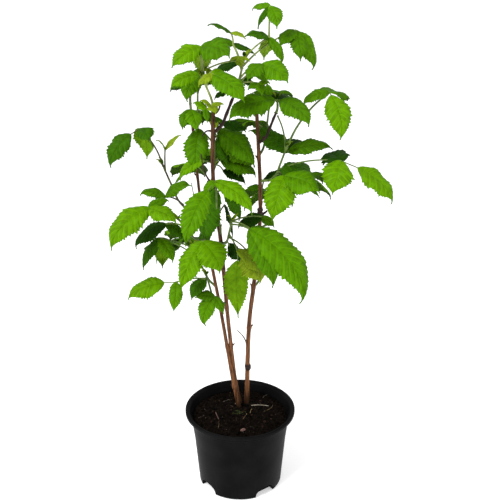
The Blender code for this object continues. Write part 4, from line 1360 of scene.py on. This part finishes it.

# %% [markdown]
# ### Finer leaves and their greens
#
# Between the large leaves the photograph shows many small young ones. They are too fine for the solids, so
# they are added here, on the same shoots and within their reach. Each leaflet gets its green by a word. A
# green that varied with place would tint neighbours alike, where a real crown mixes old and young leaves. The
# words also paint light and shade: bright greens go partly to leaflets in full light, and deep and dark ones
# are partly painted shade on leaflets that hang in the crown's shadow.

# %% Finer leaves, which only this script adds
FINE_LEAVES = {
    "leaves_fork_tip": (
        Leaf(0.90, 120, -15, 0.014, (Blade(160, 20, 0.034, 0.0, 0.5),)),
        Leaf(1.00, -140, 25, 0.008, (
            Blade(-160, 15, 0.014, 0.0, 0.5), Blade(-20, 15, 0.014, 0.0, 0.5), Blade(-85, 35, 0.018))),
        Leaf(0.72, 120, 50, 0.036, (Blade(-170, -5, 0.030, 0.0, 0.5),)),
        Leaf(0.95, -170, -10, 0.044, (Blade(-65, 40, 0.018, 0.0, 0.5), Blade(-150, 10, 0.012, 0.0, 0.5))),
        Leaf(0.30, -40, 10, 0.032, (
            Blade(-150, 20, 0.016), Blade(-25, -10, 0.016, 0.0, 0.5), Blade(-75, 30, 0.020))),
        Leaf(0.10, 135, -5, 0.012, (Blade(165, 30, 0.024, 0.0, 0.5), Blade(130, -15, 0.016))),
        Leaf(0.30, 55, 15, 0.032, (Blade(180, 55, 0.020), Blade(0, 30, 0.024, 0.0, 0.5))),
        Leaf(0.10, 65, 25, 0.024, (Blade(-175, 55, 0.020), Blade(0, 35, 0.022, 0.0, 0.5)))),
    "leaves_middle_tip": (
        Leaf(0.90, -50, 40, 0.028, (Blade(-70, 50, 0.030, 0.0, 0.75),)),
        Leaf(0.05, -105, 40, 0.010, (
            Blade(-10, -15, 0.016, 0.0, 0.5), Blade(-165, -35, 0.016, 0.0, 0.5), Blade(-70, 10, 0.020))),
        Leaf(0.10, -130, 5, 0.012, (Blade(175, -30, 0.018), Blade(-80, 45, 0.018, 0.0, 0.5)))),
    "leaves_left_tip": (Leaf(0.60, 140, 20, 0.010, (Blade(170, 20, 0.026, 0.0, 0.45),)),),
    "leaves_right_tip": (Leaf(0.80, 160, 25, 0.012, (
        Blade(150, -10, 0.024), Blade(100, -50, 0.020, 0.0, 0.5), Blade(-150, 5, 0.018, 0.0, 0.5))),),
    "leaves_centre": (
        Leaf(0.10, 75, -5, 0.030, (Blade(10, 25, 0.056, 0.0, 0.55), Blade(30, 15, 0.056, 0.0, 0.55))),
        Leaf(0.05, 75, -25, 0.048, (Blade(0, 30, 0.036, 0.0, 0.5),)),
        Leaf(0.95, 50, 25, 0.018, (Blade(-10, 15, 0.032, 0.0, 0.5), Blade(155, -35, 0.014, 0.0, 0.5))),
        Leaf(0.95, 70, -50, 0.014, (Blade(0, 70, 0.038, 0.0, 0.7),))),
    "leaves_front": (
        Leaf(0.90, 60, -15, 0.022, (Blade(0, 65, 0.044, 0.0, 0.5),)),
        Leaf(1.00, 130, 30, 0.010, (Blade(-180, 75, 0.020),)),
        Leaf(0.90, 95, -10, 0.020, (Blade(-155, 80, 0.076, 0.0, 0.5),)),
        Leaf(0.75, 85, -50, 0.030, ()),
        Leaf(0.55, 70, -75, 0.038, ()),
        Leaf(0.35, 65, 25, 0.022, (Blade(35, 75, 0.052, 0.0, 0.4),))),
    "leaves_right": (
        Leaf(0.95, -145, 75, 0.048, ()),
        Leaf(0.30, 50, 0, 0.020, (Blade(160, 25, 0.034, 0.0, 0.5),)),
        Leaf(0.05, 100, -50, 0.020, (Blade(-170, -10, 0.020),)),
        Leaf(0.45, -10, -55, 0.024, (Blade(0, 75, 0.028),))),
    "leaves_front_right": (
        Leaf(0.50, -20, -30, 0.028, (Blade(-15, 65, 0.050, 0.0, 0.85),)),
        Leaf(1.00, 35, -5, 0.046, (Blade(170, 25, 0.038), Blade(-35, 25, 0.022))),
        Leaf(0.10, 75, -25, 0.030, (Blade(20, 55, 0.032),)),
        Leaf(1.00, -20, -15, 0.026, (Blade(10, 25, 0.030, 0.0, 0.55),)),
        Leaf(0.90, 100, 10, 0.024, ()),
        Leaf(0.30, 85, -30, 0.036, (Blade(0, 55, 0.028, 0.0, 0.8),))),
    "leaves_left": (Leaf(0.10, 165, 85, 0.032, (Blade(150, -40, 0.026, 0.0, 0.5), Blade(145, 0, 0.018))),),
    "leaves_left_front": (Leaf(0.30, -25, 80, 0.054, (Blade(180, 40, 0.028),)),),
}
finer_count = sum(len(leaf.blades) for leaves in FINE_LEAVES.values() for leaf in leaves)
print(finer_count, "finer leaflets")

# %% Greens, dealt out one by one from the youngest shoots to the shaded old leaves
# One word for each leaflet. The bright words are partly painted light, and the deep and dark ones partly
# painted shade. A second word after a slash names its underside, which is else the dark one.
GREENS = {
    "leaves_fork_tip": (
        "fresh mid", "mid mid fresh", "deep mid/lit mid", "fresh deep fresh", "mid deep", "deep young",
        "dark", "young young young", "mid", "young young", "mid bright fresh", "dark dark",
        "deep mid", "mid dark"),
    "leaves_middle_tip": ("bright mid mid/lit", "fresh young", "bright", "young young young", "bright mid"),
    "leaves_left_tip": ("bright mid deep", "mid fresh", "dark"),
    "leaves_right_tip": ("mid mid dark", "mid fresh deep"),
    "leaves_right": ("mid bright mid", "mid deep dark", "bright dark bright", "bright fresh deep",
                     "", "dark", "deep", "fresh"),
    "leaves_front_right": (
        "mid fresh", "bright/pale young", "young/pale", "dark mid", "dark", "mid", "", "dark"),
    "leaves_front": ("bright fresh fresh", "deep", "dark", "deep", "", "", "dark"),
    "leaves_centre": ("mid fresh", "mid", "bright", "mid dark", "dark", "dark deep", "deep"),
    "leaves_upper_left": ("deep deep mid/pale", "young/pale young/pale", "mid mid"),
    "leaves_left": ("bright bright mid", "dark deep", "dark dark"),
    "leaves_left_front": ("bright bright", "deep mid/pale fresh", "deep"),
    "leaves_lowest": ("deep", "bright fresh", "fresh mid mid"),
}
BACK_GREENS = ("mid", "deep", "fresh", "mid", "bright")
print("greens are dealt by hand to", len(GREENS), "shoots, and drawn for the others")

# %% Leaf finishes
# Apart from the yellow-green of young leaflets, these are lighter and darker copies of one green: the bright
# ones are partly painted light on leaflets in full light, and the deep and dark ones stand for older leaves and
# are also painted shade on leaflets that hang in the crown's shadow.
LEAF_GREENS = {
    "young": (0.150, 0.225, 0.0080),
    "bright": (0.080, 0.200, 0.0005),
    "fresh": (0.060, 0.165, 0.0005),
    "mid": (0.046, 0.132, 0.0006),
    "deep": (0.026, 0.088, 0.0008),
    "dark": (0.010, 0.040, 0.0008),
}
UNDERSIDE_GREENS = {
    "pale": (0.105, 0.225, 0.003),
    "lit": (0.190, 0.330, 0.020),
    "shaded": (0.030, 0.075, 0.004),
}
VEIN_LIFT = 1.20
VEIN_SPREAD = 1.1
MOTTLE = 0.82


def mottled(name, colour, size, roughness, bump):
    """A leaf's finish, whose green runs a little darker and lighter over noise."""
    dark, light = shade(colour, MOTTLE), shade(colour, 1 / MOTTLE)
    return finish(name, dark, light, size, roughness, bump=bump, detail=6.0, specular=0.03)


leaf_finishes = []
for green, colour in LEAF_GREENS.items():
    leaf_finishes.append(mottled("leaf_" + green, colour, 0.006, 0.5, 0.0002))
    vein_tones = shade(colour, VEIN_LIFT), shade(colour, VEIN_LIFT * VEIN_SPREAD)
    leaf_finishes.append(finish("vein_" + green, *vein_tones, 0.012, 0.5, specular=0.03))
for green, colour in UNDERSIDE_GREENS.items():
    leaf_finishes.append(mottled("under_" + green, colour, 0.008, 0.7, 0.0001))
FINISH_PLACE = {made.name: place for place, made in enumerate(leaf_finishes)}
print(len(leaf_finishes), "leaf finishes")

# %% [markdown]
# ### One leaflet
#
# A leaflet starts from its midrib, a line that arches over and hooks down at its tip. Rows of points slant
# off it to both sides as far as the outline with its teeth, and the rows are lifted into pleats. Two such
# grids, a thickness apart, and a rim between them close the body.

# %% The outline, the teeth and the midrib of a leaflet
BLADE_TIP_WIDTH = 0.0007
BLADE_ROOT_WIDTH = 0.0009
BLADE_FINE_STEPS = 40
BLADE_WIDEST = 0.40
BLADE_SWELL_POWER = 0.6
BLADE_TAPER_POWER = 0.9
TIP_DRAWN = 0.9
HOOK_START = 0.66
SUNK = 0.0012
SMALL_LEAFLET = 0.03
# The fewest pairs of side veins, and the length that adds another pair
SMALL_VEINS = (5, 0.015)
LARGE_VEINS = (6, 0.020)
# Places of the rows between one side vein and the next, and how far the edge reaches out there
VEIN_STATIONS = (0.0, 0.12, 0.34, 0.5, 0.62, 0.86)
TOOTH_REACH = (1.0, -0.55, -0.1, 0.45, -0.35, 0.35)
TOOTH_MIDDLE = 0.2
TOOTH_DEPTH = 0.14
TOOTH_SPREAD = 0.45
LOPSIDED = 0.08


def half_width(at, length, width):
    """Half the width of a leaflet at a share of its length: it swells quickly, then draws out to a point.

    It goes with the sine of the way to the widest place, and with the cosine of the way from there to the
    tip.
    """
    swell = np.sin(np.pi / 2 * np.clip(at / BLADE_WIDEST, 0, 1)) ** BLADE_SWELL_POWER
    past = np.clip((at - BLADE_WIDEST) / (1 - BLADE_WIDEST), 0, 1)
    taper = np.cos(np.pi / 2 * past) ** (BLADE_TAPER_POWER + TIP_DRAWN * past**3)
    ends = BLADE_ROOT_WIDTH * (1 - at) + BLADE_TIP_WIDTH * at
    return np.maximum(length * width / 2 * swell * taper, ends)


def vein_count(length):
    """How many pairs of side veins a leaflet has: more, the longer it is."""
    fewest, spacing = SMALL_VEINS if length < SMALL_LEAFLET else LARGE_VEINS
    return fewest + int(round(length / spacing))


def toothed_halves(edge, blade, veins, fade, chance):
    """How far each half of a leaflet reaches out at the end of each row.

    It is half the outline's width times 1 + depth (tooth - middle) fade, where the teeth differ in size.
    """
    plain = half_width(edge, blade.length, blade.width)
    halves = []
    for side in (1, -1):
        sizes = [1 + TOOTH_SPREAD * chance.uniform(-1, 1) for _ in range(veins)]
        teeth = np.append(np.tile(TOOTH_REACH, veins) * np.repeat(sizes, len(VEIN_STATIONS)), 0.0)
        lopsided = 1 + side * LOPSIDED * chance.uniform(-1, 1)
        halves.append(plain * (1 + TOOTH_DEPTH * (teeth - TOOTH_MIDDLE) * fade) * lopsided)
    return halves


def midrib_path(root, blade, curl, hook):
    """Points and directions of the midrib: its fall grows evenly, and by a square law in the tip.

    fall(u) = drop - curl (0.5 - u) + hook ((u - start) / (1 - start))^2, with the last term only past the
    start of the hook.
    """
    at = np.linspace(0, 1, BLADE_FINE_STEPS + 1)
    tip = np.clip((at - HOOK_START) / (1 - HOOK_START), 0, 1)
    directions = direction(blade.heading, -blade.drop + curl * (0.5 - at) - hook * tip**2).T
    steps = (directions[1:] + directions[:-1]) / 2 * (blade.length + SUNK) / BLADE_FINE_STEPS
    start = root - directions[0] * SUNK
    return at, np.vstack((start, start + np.cumsum(steps, axis=0))), directions


print("side veins of leaflets of 20, 50 and 120 mm:", vein_count(0.020), vein_count(0.050), vein_count(0.120))

# %% The surface of a leaflet
VEIN_SLANT = 0.85
ROW_CURVE = 1.25
FADE_POWER = 0.35
LEAF_COLUMNS = (1.0, 0.86, 0.68, 0.48, 0.28, 0.12, 0.035)
BLADE_FOLD = 14.0
PLEAT_HEIGHT = 0.18
PLEAT_ROUNDNESS = 0.7
PLEAT_RISE_POWER = 0.6
PLEAT_EDGE_LOSS = 0.5
EDGE_DROOP = 0.52
RIPPLE = 0.14
RIPPLE_WAVES = (1.4, 2.8)
RIPPLE_PHASE = 6.3
MIDRIB_GROOVE = 0.0003
TIP_HOOK = 38.0
HOOK_RANGE = (0.3, 1.6)
BOW = 0.05


def leaf_grid(root, blade, roll, curl, chance):
    """The top surface of a leaflet as a grid of points, with the way its surface faces at each of them.

    A row starts at a share u of the midrib. At v of the way to the edge it has moved forward by the slant
    times u (1 - u) v to the power of the row's curve, and out by v of the half width there. The height above
    the fold is the quilt between the veins, less the droop of the edge, plus a slow ripple.
    """
    at, fine, fine_directions = midrib_path(root, blade, curl, TIP_HOOK * chance.uniform(*HOOK_RANGE))
    veins = vein_count(blade.length)
    u = np.append((np.arange(veins)[:, None] + np.array(VEIN_STATIONS)[None]).ravel() / veins, 1.0)
    across = np.concatenate((LEAF_COLUMNS, (0.0,), -np.array(LEAF_COLUMNS)[::-1]))
    v = np.abs(across)[None]
    left = (across > 0)[None]
    edge = u + VEIN_SLANT * u * (1 - u)
    place = u[:, None] + (edge - u)[:, None] * v**ROW_CURVE
    fade = np.sin(np.pi * np.clip(u, 0, 1)) ** FADE_POWER
    left_half, right_half = toothed_halves(edge, blade, veins, fade, chance)
    wide = np.where(left, left_half[:, None], right_half[:, None])
    bulge = np.append(np.tile(np.sin(np.pi * np.array(VEIN_STATIONS)) ** PLEAT_ROUNDNESS, veins), 0.0)
    quilt = PLEAT_HEIGHT * blade.length / veins * (bulge * fade)[:, None]
    quilt = quilt * v**PLEAT_RISE_POWER * (1 - PLEAT_EDGE_LOSS * v**2)
    level = direction(blade.heading + 90, 0)
    points = np.stack([np.interp(place, at, fine[:, axis]) for axis in range(3)], axis=-1)
    bow = BOW * chance.uniform(-1, 1) * blade.length * np.sin(np.pi * place)
    points = points + level * bow[..., None]
    along = unit(np.stack([np.interp(place, at, fine_directions[:, axis]) for axis in range(3)], axis=-1))
    lift = np.cross(along, level)
    side = level * np.cos(np.radians(roll)) + lift * np.sin(np.radians(roll))
    lift = np.cross(along, side)
    out = across[None] * wide
    reach = np.abs(out)
    fold = np.radians(BLADE_FOLD)
    phases = np.where(left, chance.uniform(0, RIPPLE_PHASE), chance.uniform(0, RIPPLE_PHASE))
    waves = np.sin(2 * np.pi * chance.uniform(*RIPPLE_WAVES) * place + phases)
    rise = reach * np.sin(fold) + quilt - EDGE_DROOP * reach * v**2 + RIPPLE * wide * v**2 * waves
    rise = rise - MIDRIB_GROOVE * (v == 0)
    return points + side * (out * np.cos(fold))[..., None] + lift * rise[..., None], lift


sample, _ = leaf_grid(np.zeros(3), Blade(0, 0, 0.1), 0, 0, random.Random(1))
print("a leaflet of 100 mm has", sample.shape[0] * sample.shape[1], "points and measures",
      np.round(np.ptp(sample.reshape(-1, 3), axis=0), 3), "m")

# %% A leaflet as a thin closed body
LEAF_THICKNESS = 0.0004


def leaflet(pile, root, blade, roll, curl, green, under, chance):
    """Adds a leaflet as a thin closed body: the top grid, the same grid a thickness lower, and a rim."""
    top, lift = leaf_grid(root, blade, roll, curl, chance)
    rows, count = top.shape[:2]
    index = np.arange(rows * count).reshape(rows, count)
    faces = np.stack((index[:-1, :-1], index[:-1, 1:], index[1:, 1:], index[1:, :-1]), axis=-1)
    low = index + rows * count
    rim = np.vstack((
        np.stack((index[:-1, 0], index[1:, 0], low[1:, 0], low[:-1, 0]), axis=-1),
        np.stack((index[1:, -1], index[:-1, -1], low[:-1, -1], low[1:, -1]), axis=-1),
        np.stack((index[0, 1:], index[0, :-1], low[0, :-1], low[0, 1:]), axis=-1),
        np.stack((index[-1, :-1], index[-1, 1:], low[-1, 1:], low[-1, :-1]), axis=-1)))
    kinds = np.full(faces.shape[:2], FINISH_PLACE["leaf_" + green])
    kinds[::len(VEIN_STATIONS)] = FINISH_PLACE["vein_" + green]
    middle = len(LEAF_COLUMNS)
    kinds[:, middle - 1:middle + 1] = FINISH_PLACE["vein_" + green]
    quads = np.vstack((faces.reshape(-1, 4), faces[..., ::-1].reshape(-1, 4) + rows * count, rim))
    under_kinds = np.full(kinds.size + len(rim), FINISH_PLACE["under_" + under])
    points = np.vstack((top.reshape(-1, 3), (top - lift * LEAF_THICKNESS).reshape(-1, 3)))
    pile.add(points, quads, quad_kinds=np.concatenate((kinds.ravel(), under_kinds)))


print("a leaflet is", round(LEAF_THICKNESS * 1000, 1), "mm thick, and its green is one of", len(LEAF_GREENS))

# %% [markdown]
# ### Shoots and stalks
#
# A green shoot leaves its limb, and its leaf stalks arch out from it. Both are thin tubes whose ends swell a
# little where they join, as living joints do. The paths are worked out with as few points as the solids have,
# and then drawn finer through the same points, so that each leaf hangs where its solid does.

# %% Stalk finishes
STALK_TINTS = {
    "stalk_green": ((0.050, 0.095, 0.012), (0.125, 0.190, 0.035)),
    "stalk_brown": ((0.030, 0.030, 0.010), (0.085, 0.095, 0.028)),
    "stalk_pale": ((0.130, 0.180, 0.035), (0.250, 0.310, 0.085)),
}
# Shoots whose stalks are not the first tint, by the tint's place
STALK_KINDS = {"leaves_fork_tip": 2, "leaves_middle_tip": 2, "leaves_upper_left": 1}

stalk_finishes = [finish(name, dark, light, 0.004, 0.5, stretch=(1, 1, 0.3), detail=6.0, specular=0.2)
                  for name, (dark, light) in STALK_TINTS.items()]
print(len(stalk_finishes), "stalk finishes")

# %% Where a shoot runs
SHOOT_GAP = 0.0005
SHOOT_COARSE_RINGS = 6
SHOOT_TURN_SHARE = 0.45


def shoot_path(name):
    """Points and directions of a shoot. It starts square to its limb, or onward from its tip, clear of it."""
    shoot = SHOOTS[name]
    points, directions, radii = limb_path(shoot.limb)
    last = direction(shoot.heading, shoot.rise)
    if shoot.height is TIP:
        first = directions[-1]
        start = points[-1] + first * GAP
    else:
        centre, radius = limb_at(points, radii, shoot.height)
        first = direction(shoot.heading, 0)
        start = centre + first * (radius + SHOOT_GAP)
    return turning_path(start, first, last, shoot.length, SHOOT_COARSE_RINGS, SHOOT_TURN_SHARE)


def path_at(points, share):
    """The point at a share of a path."""
    places = np.linspace(0, 1, len(points))
    return np.array([np.interp(share, places, points[:, axis]) for axis in range(3)])


highest = max(shoot_path(name)[0][-1, 2] for name in SHOOTS)
print("the highest shoot ends", round(highest, 3), "m up")

# %% A leaf stalk
STALK_RADIUS = 0.0009
STALK_TIP_RADIUS = 0.0007
STALK_COARSE_RINGS = 4
STALK_ARCH = 30.0
STALK_SIDES = 9
STALK_STEPS = 14
STALK_SWELL = 1.2
# How much a stalk's foot and its hub swell, and how quickly that fades along it
STALK_FOOT_SWELL = (0.5, 12)
STALK_HUB_SWELL = (0.35, 14)


def stalk(pile, start, leaf, kind, stout):
    """Adds an arching stalk and gives back its end. It starts steeper than its rise, and bends over.

    Its radius falls evenly along it, times 1 + swell exp(-fade u) at its foot and the like at its hub.
    """
    first = direction(leaf.heading, leaf.rise + STALK_ARCH / 2)
    last = direction(leaf.heading, leaf.rise - STALK_ARCH / 2)
    points, _ = turning_path(start, first, last, leaf.stalk, STALK_COARSE_RINGS)
    share = np.linspace(0, 1, STALK_STEPS)
    foot_swell, foot_fade = STALK_FOOT_SWELL
    hub_swell, hub_fade = STALK_HUB_SWELL
    swell = 1 + foot_swell * np.exp(-share * foot_fade) + hub_swell * np.exp(-(1 - share) * hub_fade)
    radii = (STALK_RADIUS + (STALK_TIP_RADIUS - STALK_RADIUS) * share) * swell * stout * STALK_SWELL
    tube(pile, curve_through(points, STALK_STEPS), radii, STALK_SIDES, kind)
    return points[-1]


print("a plain stalk is", round(2000 * STALK_RADIUS * STALK_SWELL, 2), "mm thick before its ends swell")

# %% A compound leaf
NECK_TIP_RADIUS = 0.0006
NECK_STEPS = 4
BLADE_CURL = 42.0
CURL_SPREAD = 12.0
ROLL_SPREAD = 8.0
TURN_TO_LIGHT = 35.0


def grow_leaf(piles, start, leaf, faces, words, kind, chance, fine_chance, stout=1.0):
    """One compound leaf: its stalk, then its leaflets in order. Gives back the hub where they meet.

    A leaflet rolls towards the heading that its shoot faces, by the sine of the angle between them.
    """
    leaves, stalks = piles
    hub = stalk(stalks, start, leaf, kind, stout)
    for blade, word in zip(leaf.blades, words):
        green, _, under = word.partition("/")
        light = TURN_TO_LIGHT * np.sin(np.radians(blade.heading - faces))
        roll = light + chance.uniform(-ROLL_SPREAD, ROLL_SPREAD)
        curl = BLADE_CURL + chance.uniform(-CURL_SPREAD, CURL_SPREAD)
        root = hub
        if blade.neck:
            first = direction(blade.heading, -blade.drop + curl / 2)
            ends = np.linspace(hub - first * SUNK, hub + first * blade.neck, NECK_STEPS)
            tube(stalks, ends, np.linspace(STALK_TIP_RADIUS, NECK_TIP_RADIUS, NECK_STEPS), STALK_SIDES, kind)
            root = ends[-1]
        leaflet(leaves, root, blade, roll, curl, green, under or "shaded", fine_chance)
    return hub


# %% Growing all the shoots
SHOOT_RADIUS = 0.0013
SHOOT_TIP_RADIUS = 0.0009
SHOOT_SIDES = 10
SHOOT_STEPS = 24
SHOOT_SINK = 0.0011
SHOOT_SWELL = 1.3
# How much a shoot's foot swells, and how quickly that fades along it
SHOOT_FOOT_SWELL = (0.6, 14)
# Leaves with a stouter stalk, by their shoot and their place in its table
STOUT_LEAVES = {("leaves_middle_tip", 0): 1.9, ("leaves_fork_tip", 4): 1.4, ("leaves_right", 0): 1.25}
# The tuft of young leaflets at each shoot's tip
TUFT_SPREAD = (-70, 0, 70)
TUFT_RISE = 50.0
TUFT_LENGTH = 0.011
TUFT_WIDTH = 0.4
TUFT_STALK = 0.003
LEAF_SHARP_ANGLE = 70.0


def grow_shoot(name):
    """The leaves and the stalks of one shoot, as two pieces.

    The table's leaves come first and the finer ones after them, each with random draws of their own, so that
    the finer ones don't change how the table's leaves hang.
    """
    shoot = SHOOTS[name]
    chance = random.Random(name)
    fine_chance = random.Random(name + "_fine")
    piles = Pile(), Pile()
    kind = STALK_KINDS.get(name, 0)
    points, directions = shoot_path(name)
    fine = curve_through(np.vstack((points[:1] - directions[:1] * SHOOT_SINK, points)), SHOOT_STEPS)
    share = np.linspace(0, 1, SHOOT_STEPS)
    foot_swell, foot_fade = SHOOT_FOOT_SWELL
    radii = SHOOT_SWELL * (SHOOT_RADIUS + (SHOOT_TIP_RADIUS - SHOOT_RADIUS) * share)
    radii = radii * (1 + foot_swell * np.exp(-share * foot_fade))
    tube(piles[1], fine, radii, SHOOT_SIDES, kind)
    hub = points[-1]
    finer = FINE_LEAVES.get(name, ())
    greens = GREENS.get(name, ())
    for number, leaf in enumerate((*shoot.leaves, *finer)):
        start = hub if leaf.share is HUB else path_at(points, leaf.share)
        words = greens[number].split() if greens else [fine_chance.choice(BACK_GREENS) for _ in leaf.blades]
        draws = chance if number < len(shoot.leaves) else fine_chance
        stout = STOUT_LEAVES.get((name, number), 1.0)
        hub = grow_leaf(piles, start, leaf, shoot.faces, words, kind, draws, fine_chance, stout)
    blades = [Blade(shoot.heading + spread, -TUFT_RISE, TUFT_LENGTH, 0.0, TUFT_WIDTH)
              for spread in TUFT_SPREAD]
    tuft = Leaf(1.0, shoot.heading, shoot.rise, TUFT_STALK, tuple(blades))
    words = ["young"] * len(TUFT_SPREAD)
    grow_leaf(piles, points[-1], tuft, shoot.faces, words, kind, fine_chance, fine_chance)
    mass = name.removeprefix("leaves_")
    leaves_piece = piles[0].piece("leaflets_" + mass, leaf_finishes, sharp_angle=LEAF_SHARP_ANGLE)
    stalks_piece = piles[1].piece("stalks_" + mass, stalk_finishes)
    for made in (leaves_piece, stalks_piece):
        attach(made, "root")
        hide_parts(name)


for name in SHOOTS:
    grow_shoot(name)
